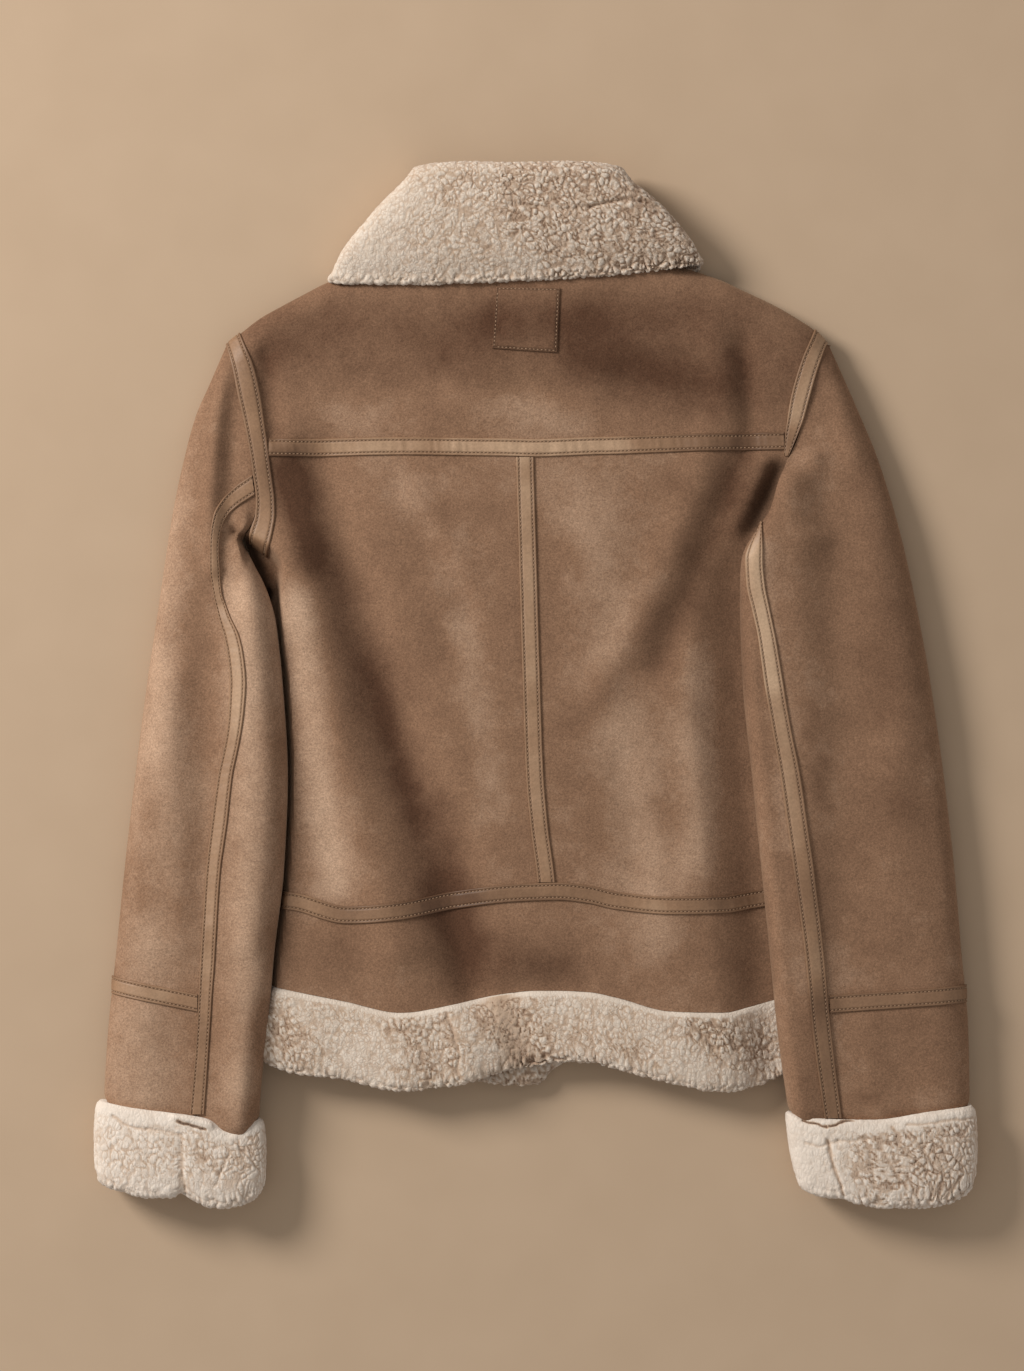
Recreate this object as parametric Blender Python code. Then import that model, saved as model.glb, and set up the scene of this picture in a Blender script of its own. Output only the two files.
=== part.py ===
"""Faux shearling aviator jacket, laid flat on its front with its back up.

Suede-look panels, smooth tapes over the seams, and curly pile on the collar, hem and cuffs.
+X is the jacket's right-hand side as seen from above, +Y points from hem to collar, +Z is up.
The jacket rests on z = 0, and every size below is in millimetres until a mesh is made.
"""

import math

import bpy
import numpy as np

NAME = "shearling_jacket"
METRE = 0.001

# Cloth, in millimetres
GAP = 0.5
SUEDE = 3.0
PRESSED = 1.2
PRESSED_SHARE = 0.22  # of the room between the back and the front
TAPE = 1.2
TAPE_LIFT = 0.35
TAPE_WIDTH = 13.0
SEAM_GAP = GAP / 2
ARMHOLE_GAP = 0.6
TAPE_HALF = TAPE_WIDTH / 2
SEAM_MARGINS = (SEAM_GAP, SEAM_GAP, SEAM_GAP, SEAM_GAP)
PATCH = 1.6
PATCH_LIFT = 0.6
HEM_PILE = 8.0
FRONT_PILE = 6.0
CUFF_PILE = 9.0

# Heights of the lying jacket, in millimetres
OUTER_EDGE = 12.0
SIDE_EDGE = 6.5
SIDE_TOP = 13.0
BODY_TOP = 25.0
NECK_RAISE = 11.5
SHOULDER_ROUND = 16.0
SLEEVE_ROUND = 30.0
SIDE_ROUND = 8.0
INNER_ROUND = 10.0

# The back swells a little about its middle, where the jacket is fullest.
SWELL = 3.0
SWELL_X = -8.0
SWELL_REACH = 110.0

# Where a sleeve lies on the back: the y at which the back starts to sink below it, the y at
# which it is as low as it gets, and how far past the sleeve's edge it takes to rise again.
LOW_Y = {"left": (112.0, 92.0), "right": (125.0, 70.0)}
LOW_RISE = {"left": 20.0, "right": 48.0}
LOW_START = 2.0

# The front lies over the collar's fall inside an oval about the neck.
NECK_X = -12.0
NECK_Y = 300.0
NECK_HALF_WIDTH = 168.0
NECK_HALF_LENGTH = 100.0
NECK_OVAL = (0.96, 1.22)

# A sleeve lying on the back is lifted over it, and its middle is lifted by a share of that.
LIFT_START = 0.1
LIFT_SPREAD = {"left": 3.0, "right": 34.0}
CROWN_LIFT = 0.45
JOIN_REACH = 26.0
JOIN_DROP = 22.0


class Table:
    """Rows of sizes under named columns, read by the first column along a smooth curve."""

    def __init__(self, columns, rows):
        self.columns = columns.split()
        self.rows = np.array(sorted(rows), float)

    def at(self, column, key):
        x = self.rows[:, 0]
        y = self.rows[:, self.columns.index(column)]
        step = np.diff(y) / np.diff(x)
        slope = np.empty(len(x))
        slope[0] = step[0]
        slope[-1] = step[-1]
        turning = step[:-1] * step[1:] <= 0
        mean = 2 * step[:-1] * step[1:] / np.where(turning, 1, step[:-1] + step[1:])
        slope[1:-1] = np.where(turning, 0, mean)
        key = np.clip(key, x[0], x[-1])
        i = np.clip(np.searchsorted(x, key) - 1, 0, len(x) - 2)
        width = x[i + 1] - x[i]
        t = (key - x[i]) / width
        near = (1 + 2 * t) * (1 - t) ** 2 * y[i] + t * (1 - t) ** 2 * width * slope[i]
        far = t * t * (3 - 2 * t) * y[i + 1] + t * t * (t - 1) * width * slope[i + 1]
        return near + far

    def line(self, column, low, high, count):
        """Points (value, key) along one column between two keys."""
        keys = np.linspace(low, high, count)
        return np.stack([self.at(column, keys), keys], axis=1)


# Armhole seams, and below y = 105 or 110 the body's side edges under the sleeves.
SIDE = Table("y left right", [
    (250, -226.5, 214.5), (235, -223.5, 208.5), (220, -221, 204), (200, -216, 199), (180, -212, 193),
    (165, -210, 187), (145, -207, 184), (131, -206, 184), (117, -209, 187), (105, -216, 193),
    (98, -209.5, 191), (92, -206, 190), (75, -204, 189), (60, -205, 189), (0, -209, 192),
    (-100, -212, 195), (-220, -212, 196), (-301, -211, 194),
])
CROTCH = {"left": 105.0, "right": 110.0}

# Outer edge of each sleeve.
OUTER = Table("y left right", [
    (250, -229, 217.5), (220, -242, 231), (197, -252, 241), (168, -260, 253), (131, -268, 265),
    (101, -273, 273), (60, -279, 282), (0, -288, 293), (-70, -297, 303), (-140, -305, 311),
    (-200, -311, 316), (-260, -317, 321), (-330, -321, 322),
])

# Inner edge of each sleeve, which lies on the body: its place, the height of its middle,
# the height that its underside clears, and how far that underside takes to reach the floor.
INNER_LEFT = Table("y inner edge lift spread", [
    (105, -216, 9, 1, 3), (98, -213, 14, 6, 12), (92, -208, 19, 11, 20), (85, -203, 23, 15, 26),
    (75, -197, 25, 16, 28), (60, -193, 25, 16, 28), (30, -190, 25, 16, 28), (0, -187, 25, 16, 28),
    (-70, -183, 25, 16, 28), (-140, -186, 25, 16, 28), (-200, -193, 25, 16, 28),
    (-260, -198, 24, 16, 28), (-290, -202, 23, 15, 28), (-330, -205, 21, 8, 28),
])
INNER_RIGHT = Table("y inner edge lift spread", [
    (170, 188.8, 32, 28, 3), (150, 179, 34, 28, 3), (127, 172, 35, 28, 3), (110, 161, 34, 27, 4),
    (90, 152, 31, 23, 20), (75, 151, 28, 18, 28), (60, 151, 26, 17, 28), (0, 153, 25, 16, 28),
    (-70, 160, 25, 16, 28), (-140, 167, 25, 16, 28), (-200, 173, 25, 16, 28),
    (-260, 179, 24, 16, 28), (-290, 183, 23, 15, 28), (-330, 189, 21, 8, 28),
])
INNER = {"left": INNER_LEFT, "right": INNER_RIGHT}
INNER_START = {"left": 105.0, "right": 170.0}

# Edges of the tape over each sleeve's back seam.
SEAM_LEFT = Table("y tape_out tape_in", [
    (152, -208, -207), (145, -219, -208), (131, -231, -218), (118, -236, -231), (101, -240, -234),
    (85, -240, -235), (60, -237, -230), (30, -229, -217), (0, -225, -213), (-35, -227, -216),
    (-70, -234, -223), (-105, -239, -227), (-140, -243, -232), (-200, -247, -236),
    (-260, -250, -240), (-330, -256, -245),
])
SEAM_RIGHT = Table("y tape_out tape_in", [
    (110, 167, 163), (101, 167, 159), (85, 167, 154), (60, 171, 158), (30, 177, 164),
    (0, 182, 168), (-35, 188, 174), (-70, 195, 180), (-105, 200, 185), (-140, 205, 190),
    (-200, 212, 198), (-260, 218, 204), (-330, 227, 214),
])
SEAM = {"left": SEAM_LEFT, "right": SEAM_RIGHT}
SEAM_START = {"left": 145.0, "right": 110.0}

# Height of each sleeve's middle, and of its underside above the floor.
SLEEVE = Table("y crown base", [
    (250, 24, 0), (168, 27, 0), (101, 31, 0), (0, 33, 0), (-150, 33, 0), (-228, 33, 3),
    (-290, 33, 7), (-330, 34, 8),
])

# The centre-back seam, and the line where the fronts meet.
CENTRE = Table("y back front", [
    (-301, 14, 16), (-230, 12, 15), (-150, 8, 11), (-105, 2.5, 8), (-70, -0.5, 6), (0, -3, 2),
    (101, -6, -4), (173, -8, -8), (330, -10, -12),
])

# Seams across the body, by x. The front hem hangs lower beside the centre front.
ACROSS = Table("x yoke waist band hem front_hem", [
    (-230, 173, -158, -218, -270, -262), (-212, 173, -160, -222, -274, -266),
    (-180, 173, -162.5, -229, -287, -276), (-140, 173.5, -172.5, -237, -292, -284),
    (-100, 174, -169.5, -245, -300, -290), (-60, 173.5, -162, -239, -296, -292),
    (-20, 173, -156.5, -231, -285, -298), (0, 172.5, -155.5, -229, -282, -297),
    (16, 173, -155, -229, -279, -284), (40, 174, -157.5, -230, -279, -272),
    (60, 174.5, -162, -234, -284, -272), (100, 176, -165.5, -244, -294, -280),
    (140, 177, -165, -245, -301, -286), (160, 177.5, -162, -241, -298, -284),
    (196, 178, -156, -232, -286, -274), (230, 178, -152, -228, -280, -270),
])

# Shoulder lines, with the back neck between the neck points at x = -95 and x = 80.
TOP = Table("x back front", [
    (-229, 250, 250), (-219, 258, 258), (-204, 269.5, 269.5), (-189, 278, 278), (-174, 286, 286),
    (-152, 297, 297), (-136, 302, 302), (-116, 310, 310), (-95, 322, 322), (-70, 315, 284),
    (-40, 310, 260), (-8, 308, 252), (30, 310, 260), (58, 316, 286), (80, 325, 325),
    (100, 311, 311), (122, 303, 303), (137, 298, 298), (151, 291.5, 291.5),
    (166, 284.5, 284.5), (181, 277, 277), (196, 268, 268), (207, 260.5, 260.5), (217, 250, 250),
])
NECK = {"left": -95.0, "right": 80.0}

# The largest folds: a path of three points, its height, its width and the part it lies on.
FOLDS = [
    # x0, y0, x1, y1, x2, y2, height, width, part
    (-176, 150, -128, 40, -80, -215, -6.0, 26, "body"),
    (-180, 90, -176, -10, -140, -140, 4.5, 15, "body"),
    (150, 160, 122, 92, 88, 31, -4.5, 12, "body"),
    (-75, -165, -62, -210, -55, -300, -5.0, 22, "body"),
    (100, -175, 108, -230, 112, -300, 3.0, 30, "body"),
    (-199, 235, -197, 210, -193, 186, -3.5, 9, "body"),
    (154, 245, 157, 220, 160, 192, -3.5, 10, "body"),
    (-230, 214, -243, 140, -239, 45, 1.9, 11, "left"),
    (-221, 205, -227, 110, -221, 40, -2.5, 12, "left"),
    (-274, -6, -267, -80, -256, -162, 2.5, 14, "left"),
    (224, 231, 230, 200, 236, 170, 2.5, 12, "right"),
]


def smooth(value, low, high):
    """0 up to low, 1 past high, with a soft curve between."""
    t = np.clip((value - low) / (high - low), 0, 1)
    return t * t * (3 - 2 * t)


def distance(x, y, path):
    """Shortest distance from each point to a path of straight runs."""
    a = path[:-1]
    run = path[1:] - a
    px = np.asarray(x, float)[..., None] - a[:, 0]
    py = np.asarray(y, float)[..., None] - a[:, 1]
    t = np.clip((px * run[:, 0] + py * run[:, 1]) / (run ** 2).sum(axis=1), 0, 1)
    return np.hypot(px - t * run[:, 0], py - t * run[:, 1]).min(axis=-1)


def dome(reach, radius):
    """A rounded edge: 0 at the edge, 1 from one radius inside it."""
    t = np.clip(reach / radius, 0, 1)
    return np.sqrt(np.maximum(1 - (1 - t) ** 2, 0))


def edge_paths():
    paths = {}
    for side in ("left", "right"):
        paths["outer_" + side] = OUTER.line(side, -330, 250, 24)
        paths["side_" + side] = SIDE.line(side, -301, CROTCH[side], 30)
        paths["inner_" + side] = INNER[side].line("inner", -330, INNER_START[side], 30)
        tip = {"left": -229.0, "right": 217.0}[side]
        low, high = sorted((tip, NECK[side]))
        paths["shoulder_" + side] = TOP.line("back", low, high, 12)[:, ::-1]
    return paths


EDGES = edge_paths()


def fold_height(x, y, part):
    """Sum of the folds on one part."""
    t = np.linspace(0, 1, 9)[:, None]
    total = np.zeros(np.shape(x))
    for x0, y0, x1, y1, x2, y2, height, width, on in FOLDS:
        if on != part:
            continue
        start, bend, end = np.array([[x0, y0], [x1, y1], [x2, y2]], float)
        path = (1 - t) ** 2 * start + 2 * t * (1 - t) * bend + t * t * end
        total = total + height * np.exp(-((distance(x, y, path) / width) ** 2))
    return total


def body_crown(x, y):
    """Height of the back without its rounded edges. It is low where a sleeve lies on it."""
    swell = SWELL * np.exp(-(((x - SWELL_X) / SWELL_REACH) ** 2))
    top = BODY_TOP + swell + fold_height(x, y, "body")
    for side, sign in (("left", 1), ("right", -1)):
        clear = sign * (x - INNER[side].at("inner", y))
        high_y, low_y = LOW_Y[side]
        low = smooth(-y, -high_y, -low_y) * (1 - smooth(clear, LOW_START, LOW_RISE[side]))
        top = top + (SIDE_TOP - top) * low
    return top


def body_rim(x, y):
    """Height of the side and shoulder seams, and how much of the crown a point has."""
    shoulder = np.minimum(
        distance(x, y, EDGES["shoulder_left"]), distance(x, y, EDGES["shoulder_right"])
    )
    outer = np.minimum(distance(x, y, EDGES["outer_left"]), distance(x, y, EDGES["outer_right"]))
    side = np.minimum(distance(x, y, EDGES["side_left"]), distance(x, y, EDGES["side_right"]))
    near_outer = np.minimum(shoulder, outer)
    rim = SIDE_EDGE + (OUTER_EDGE - SIDE_EDGE) * side / (side + near_outer + 1e-9)
    rise = dome(shoulder, SHOULDER_ROUND) * dome(outer, SLEEVE_ROUND) * dome(side, SIDE_ROUND)
    return rim, rise


def front_floor(x, y):
    """The front lies on the floor, and on the collar's fall beside the neck."""
    oval = np.hypot((x - NECK_X) / NECK_HALF_WIDTH, (y - NECK_Y) / NECK_HALF_LENGTH)
    return NECK_RAISE * (1 - smooth(oval, *NECK_OVAL))


def body_height(x, y, level):
    """Height of the body: level 1 is the back and level -1 the front."""
    rim, rise = body_rim(x, y)
    rim = rim + np.sign(level) * SEAM_GAP
    far = np.where(level > 0, body_crown(x, y), front_floor(x, y))
    return rim + (far - rim) * rise


def body_middle(x, y):
    return (body_height(x, y, 1) + body_height(x, y, -1)) / 2


def body_room(x, y):
    """Height between the outer faces of the back and the front."""
    return body_height(x, y, 1) - body_height(x, y, -1)


def sleeve_height(x, y, level, side):
    """Height of a sleeve: level 1 is its upper side, -1 its underside and 0 an edge."""
    sign = -1 if side == "left" else 1
    table = INNER[side]
    outer = distance(x, y, EDGES["outer_" + side])
    inner = distance(x, y, EDGES["inner_" + side])
    shoulder = distance(x, y, EDGES["shoulder_" + side])
    base = SLEEVE.at("base", y)
    off_body = sign * (x - SIDE.at(side, y))
    spread = table.at("spread", y)
    ramp = 1 - smooth(off_body / spread, LIFT_START, 1)
    below = y < INNER_START[side]
    lift = np.where(below, table.at("lift", y), 0) * ramp
    under = np.maximum(base, lift)
    rim = OUTER_EDGE + base * 0.6
    rim = rim + (table.at("edge", y) - rim) * outer / (outer + inner + 1e-9)
    rise = dome(inner, INNER_ROUND) * dome(shoulder, SHOULDER_ROUND)
    bottom = rim - (rim - under) * rise * dome(outer, SLEEVE_ROUND * 0.6)
    away = smooth(off_body, 0, JOIN_REACH)
    away = np.maximum(away, smooth(INNER_START[side] - y, 0, JOIN_DROP))
    lying = 1 - smooth(off_body / np.maximum(spread, LIFT_SPREAD[side]), LIFT_START, 1)
    crown = SLEEVE.at("crown", y) + CROWN_LIFT * np.where(below, table.at("lift", y), 0) * lying
    crown = body_crown(x, y) * (1 - away) + crown * away + fold_height(x, y, side)
    top = rim + (crown - rim) * rise * dome(outer, SLEEVE_ROUND)
    return np.where(level == 0, rim, np.where(level > 0, top, bottom))


# Meshes


def collection(name):
    made = bpy.data.collections.new(name)
    bpy.context.scene.collection.children.link(made)
    return made


def material(name, colour, roughness):
    made = bpy.data.materials.new(name)
    made.use_nodes = True
    shader = made.node_tree.nodes["Principled BSDF"]
    shader.inputs["Base Color"].default_value = (*colour, 1.0)
    shader.inputs["Roughness"].default_value = roughness
    shader.inputs["Metallic"].default_value = 0.0
    return made


FINISHES = {
    "suede": ((0.235, 0.132, 0.074), 0.9),
    "tape": ((0.300, 0.180, 0.112), 0.55),
    "pile": ((0.640, 0.520, 0.410), 0.95),
}


def add_object(name, points, faces, finish, jacket):
    mesh = bpy.data.meshes.new(name)
    mesh.from_pydata([tuple(METRE * c for c in p) for p in points], [], faces)
    mesh.update()
    mesh.shade_smooth()
    mesh.set_sharp_from_angle(angle=math.radians(50))
    obj = bpy.data.objects.new(name, mesh)
    colour, roughness = FINISHES[finish]
    mesh.materials.append(material(name, colour, roughness))
    jacket.objects.link(obj)
    return obj


NUDGE = 0.02


def lattice(places, level, height):
    """Points and outward normals over a grid of places, rows running down the jacket."""
    places = np.asarray(places, float)
    level = np.broadcast_to(level, places.shape[:2])

    def raised(flat, on):
        z = height(flat[..., 0], flat[..., 1], on)
        return np.concatenate([flat, z[..., None]], axis=2)

    tangents = []
    for axis in (0, 1):
        size = places.shape[axis]
        ends = []
        for step in (1, -1):
            near = np.clip(np.arange(size) + step, 0, size - 1)
            flat = places + NUDGE * (np.take(places, near, axis) - places)
            on = np.where(level == 0, np.take(level, near, axis), level)
            ends.append(raised(flat, on))
        tangents.append(ends[0] - ends[1])
    normal = np.cross(tangents[1], -tangents[0])
    normal /= np.linalg.norm(normal, axis=2, keepdims=True) + 1e-12
    return raised(places, level), normal


def trimmed(grid, margins):
    """A grid with its top, bottom, left and right rows drawn in by these margins."""
    out = grid.copy()
    top, bottom, left, right = margins
    for index, inside, margin in ((0, 1, top), (-1, -2, bottom)):
        run = grid[inside] - grid[index]
        out[index] += run / np.linalg.norm(run, axis=1, keepdims=True) * margin
    base = out.copy()
    for index, inside, margin in ((0, 1, left), (-1, -2, right)):
        run = base[:, inside] - base[:, index]
        out[:, index] += run / np.linalg.norm(run, axis=1, keepdims=True) * margin
    return out


def wall(name, outer, inner, finish, jacket, missing=()):
    """A closed wall between two matching grids. Cells in missing (row, column) are left out."""
    rows, cols = outer.shape[:2]
    cells = [
        (i, j) for i in range(rows - 1) for j in range(cols - 1) if (i, j) not in missing
    ]
    used = sorted({(i + a, j + b) for i, j in cells for a in (0, 1) for b in (0, 1)})
    index = {key: n for n, key in enumerate(used)}
    count = len(used)
    points = [outer[key] for key in used] + [inner[key] for key in used]
    faces = []
    edges = {}
    for i, j in cells:
        ring = [index[(i, j)], index[(i + 1, j)], index[(i + 1, j + 1)], index[(i, j + 1)]]
        for tri in ((ring[0], ring[1], ring[2]), (ring[0], ring[2], ring[3])):
            faces.append(tri)
            faces.append(tuple(count + v for v in reversed(tri)))
        for a, b in zip(ring, ring[1:] + ring[:1]):
            edges[(a, b)] = True
    for a, b in edges:
        if (b, a) not in edges:
            faces.append((b, a, count + a))
            faces.append((b, count + a, count + b))
    return add_object(name, points, faces, finish, jacket)


def panel(name, grid, normal, thickness, margins, finish, jacket, lift=0.0, missing=(),
          half=0):
    """A wall made from a piece of a surface: its outer face lifted, its inner face below.

    Half is 1 or -1 for a back or front piece, whose inner face stays on its own side of the
    middle of the body.
    """
    skin = trimmed(grid, margins)
    outer = skin + normal * lift
    inner = skin + normal * (lift - np.asarray(thickness))
    if half:
        middle = body_middle(inner[..., 0], inner[..., 1]) + half * GAP
        inner[..., 2] = half * np.maximum(half * inner[..., 2], half * middle)
    return wall(name, outer, inner, finish, jacket, missing)


# The body

ARMHOLE_EDGE = 3
BACK_HALF = (0.0, 0.012, 0.034, None, 0.17, 0.32, 0.48, 0.64, 0.82, 1.0)
FRONT_HALF = (0.0, 0.012, 0.034, 0.09, 0.35, 0.62, 0.82, 1.0)
ROUND = (0.0, 2.0, 7.0, 15.0)
YOKE_ROWS = (0.35, 0.75)
BACK_ROWS = (0.0, None, 0.0843, 0.126, 0.17, 0.204, 0.243, 0.3, 0.45, 0.7, None, 1.0)
FRONT_ROWS = (0.0, 0.0843, 0.126, 0.17, 0.204, 0.243, 0.3, 0.6, 1.0)
BAND_ROWS = (None, 0.45, 1.0)
FRONT_BAND_ROWS = (0.5, 1.0)
CROTCH_SHARE = 0.204


def across(y, kind):
    """X of every column of the back or front, from the left edge to the right, at height y."""
    middle = CENTRE.at(kind, y)
    shares = BACK_HALF if kind == "back" else FRONT_HALF
    runs = []
    for side, sign in (("left", 1), ("right", -1)):
        edge = SIDE.at(side, y)
        reach = (middle - TAPE_HALF * sign - edge) * sign
        steps = [TAPE_WIDTH if f is None else f * reach for f in shares]
        runs.append([edge + sign * step for step in steps])
    return runs[0] + [middle] + runs[1][::-1]


def columns(kind):
    return 2 * len(BACK_HALF if kind == "back" else FRONT_HALF) + 1


def row_between(top, bottom, share, kind, shift=0.0):
    """Points of one row, a share of the way from one seam down to the next."""
    points = []
    for k in range(columns(kind)):
        y = 0.0
        for _ in range(6):
            x = across(y, kind)[k]
            y = ACROSS.at(top, x) * (1 - share) + ACROSS.at(bottom, x) * share + shift
        points.append((x, y))
    return points


def yoke_rows(kind):
    """Rows from the shoulder and neck line down to just above the yoke seam."""
    rows = []
    for drop, share in [(d, None) for d in ROUND] + [(None, f) for f in YOKE_ROWS]:
        row = []
        for k in range(columns(kind)):
            top = 250.0
            for _ in range(8):
                x = across(top, kind)[k]
                top = float(TOP.at(kind, x))
            if share is None:
                y = top - drop
            else:
                start = top - ROUND[-1]
                y = start + (ACROSS.at("yoke", x) - start) * share
            row.append((across(y, kind)[k], y))
        rows.append(row)
    return rows


def body_lattice(kind):
    """The whole back or front from neck to pile, and the numbers of its seam rows."""
    rows = yoke_rows(kind)
    if kind == "back":
        rows.append(row_between("yoke", "waist", 0.0, kind, TAPE_HALF))
    marks = {"yoke": len(rows)}
    for share in BACK_ROWS if kind == "back" else FRONT_ROWS:
        if share is None:
            shift = -TAPE_HALF if len(rows) == marks["yoke"] + 1 else TAPE_HALF
            share = 0.0 if shift < 0 else 1.0
            rows.append(row_between("yoke", "waist", share, kind, shift))
            continue
        rows.append(row_between("yoke", "waist", share, kind))
        if share == CROTCH_SHARE:
            marks["crotch"] = len(rows) - 1
    marks["waist"] = len(rows) - 1
    for share in BAND_ROWS if kind == "back" else FRONT_BAND_ROWS:
        if share is None:
            rows.append(row_between("waist", "band", 0.0, kind, -TAPE_HALF))
            continue
        rows.append(row_between("waist", "band", share, kind))
    return body_surface(rows, kind), marks


def body_surface(rows, kind):
    """The fronts run right to left, so that their outer side faces the floor."""
    if kind == "back":
        return lattice(rows, 1, body_height)
    return lattice([row[::-1] for row in rows], -1, body_height)


def piece(skin, name, rows, cols, finish, jacket, thickness=SUEDE, lift=0.0, half=0):
    rows = slice(rows[0], rows[1] + 1)
    cols = slice(cols[0], cols[1] + 1)
    grid, normal = skin[0][rows, cols], skin[1][rows, cols]
    if half:
        # the cloth is pressed thin where the jacket has no room at its edges
        room = body_room(grid[..., 0], grid[..., 1])[..., None]
        thickness = np.clip(room * PRESSED_SHARE, PRESSED, SUEDE)
    panel(name, grid, normal, thickness, SEAM_MARGINS, finish, jacket, lift, half=half)


def add_tape(skin, name, rows, cols, jacket):
    piece(skin, name, rows, cols, "tape", jacket, TAPE, TAPE + TAPE_LIFT)


def make_back(jacket):
    skin, marks = body_lattice("back")
    middle = len(BACK_HALF)
    last = skin[0].shape[1] - 1
    yoke, waist = marks["yoke"], marks["waist"]
    bottom = skin[0].shape[0] - 1
    piece(skin, "back_yoke", (0, yoke), (0, last), "suede", jacket, half=1)
    piece(skin, "back_left", (yoke, waist), (0, middle), "suede", jacket, half=1)
    piece(skin, "back_right", (yoke, waist), (middle, last), "suede", jacket, half=1)
    piece(skin, "waistband_back", (waist, bottom), (0, last), "suede", jacket, half=1)
    inside = (ARMHOLE_EDGE, last - ARMHOLE_EDGE)
    add_tape(skin, "tape_yoke", (yoke - 1, yoke + 1), inside, jacket)
    add_tape(skin, "tape_waist", (waist - 1, waist + 1), inside, jacket)
    add_tape(skin, "tape_centre_back", (yoke + 1, waist - 1), (middle - 1, middle + 1), jacket)
    add_tape(skin, "tape_armhole_left", (1, marks["crotch"] - 1), (0, ARMHOLE_EDGE), jacket)
    add_tape(skin, "tape_armhole_right", (1, yoke + 1), (last - ARMHOLE_EDGE, last), jacket)


def make_front(jacket):
    skin, marks = body_lattice("front")
    middle = len(FRONT_HALF)
    last = skin[0].shape[1] - 1
    waist = marks["waist"]
    bottom = skin[0].shape[0] - 1
    for side, cols in (("right", (0, middle)), ("left", (middle, last))):
        piece(skin, "front_" + side, (0, waist), cols, "suede", jacket, half=-1)
        piece(skin, "waistband_front_" + side, (waist, bottom), cols, "suede", jacket, half=-1)


# How far down the pile of the hem each row is, how far it stands out of the cloth there,
# and its share of the pile's full depth.
HEM = Table("share proud depth", [
    (0.0, 0.5, 0.6), (0.1, 2.8, 1.0), (0.4, 3.5, 1.0), (0.8, 3.0, 0.9), (1.0, -0.5, 0.55),
])
THIN_PILE = 3.0
BACK_PILE_SHARE = 0.42  # of the room between the back and the front
FRONT_PILE_SHARE = 0.36
PROUD_ROOM = (12, 22)  # the pile stands proud where the jacket is at least this thick
PROUD_DEPTH = 0.3


def hem_surface(kind):
    """The hem's skin, how far it stands proud and how deep it is; it is thin where low."""
    seam = "hem" if kind == "back" else "front_hem"
    rows = [row_between("band", seam, share, kind) for share in HEM.rows[:, 0]]
    skin = body_surface(rows, kind)
    x, y = skin[0][..., 0], skin[0][..., 1]
    room = body_room(x, y)[..., None]
    shape = HEM.rows[:, 2][:, None, None]
    if kind == "back":
        proud = HEM.rows[:, 1][:, None, None] * smooth(room, *PROUD_ROOM)
        depth = np.clip(room * BACK_PILE_SHARE, THIN_PILE, HEM_PILE) * shape
        return skin, proud, np.maximum(depth + proud * PROUD_DEPTH, THIN_PILE)
    depth = np.clip(room * FRONT_PILE_SHARE, THIN_PILE, FRONT_PILE) * shape
    return skin, room * 0, np.maximum(depth, THIN_PILE)


def make_hem(jacket):
    for kind, names in (("back", ("hem_trim_back",)),
                        ("front", ("hem_trim_front_right", "hem_trim_front_left"))):
        (grid, normal), proud, thick = hem_surface(kind)
        last = grid.shape[1] - 1
        middle = last // 2
        spans = ((0, last),) if kind == "back" else ((0, middle), (middle, last))
        for name, (first, end) in zip(names, spans):
            cols = slice(first, end + 1)
            panel(name, grid[:, cols], normal[:, cols], thick[:, cols],
                  (SEAM_GAP, 0, SEAM_GAP, SEAM_GAP), "pile", jacket, proud[:, cols],
                  half=1 if kind == "back" else -1)


# Sleeves

# Rows of a sleeve: y at its outer edge, and how far the row drops for each mm inwards.
SLEEVE_ROWS = {
    "left": [(244, 0), (235, 0), (213, 0), (188.5, 0), (173, 0), (166.5, 0), (145, 0), (131, 0),
             (116.4, 0), (105, 0), (92.5, 0), (75, 0), (45, 0), (0, 0), (-70, -0.03),
             (-140, -0.08), (-218, -0.2), (-224.5, -0.2), (-231, -0.2), (-311, -0.11)],
    "right": [(244, 0), (235, 0), (213, 0), (192, 0), (178, 0), (171.5, 0), (149.8, 0),
              (135.9, 0), (121.2, 0), (110, 0), (92.5, 0), (75, 0), (45, 0), (0, 0), (-70, 0),
              (-140, -0.03), (-224.5, -0.07), (-231, -0.07), (-237.5, -0.07), (-316, -0.08)],
}
WRIST = {"left": -224.5, "right": -231.0}
FLOOR_STEPS = (1.0, 0.5, 0.2, 0.05)
ROUND_STEPS = (2.5, 11.0, 27.0)
ROUND_ROOM = 44.0
INNER_STEPS = (1.5, 7.0)
INNER_ROOM = 16.0
UNDER_STEPS = (0.1, 0.5, 1.0)
UNDER_LAP = 2.0
SEAM_STRIP = 0.2
FOLDED_STEP = 0.8


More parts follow.
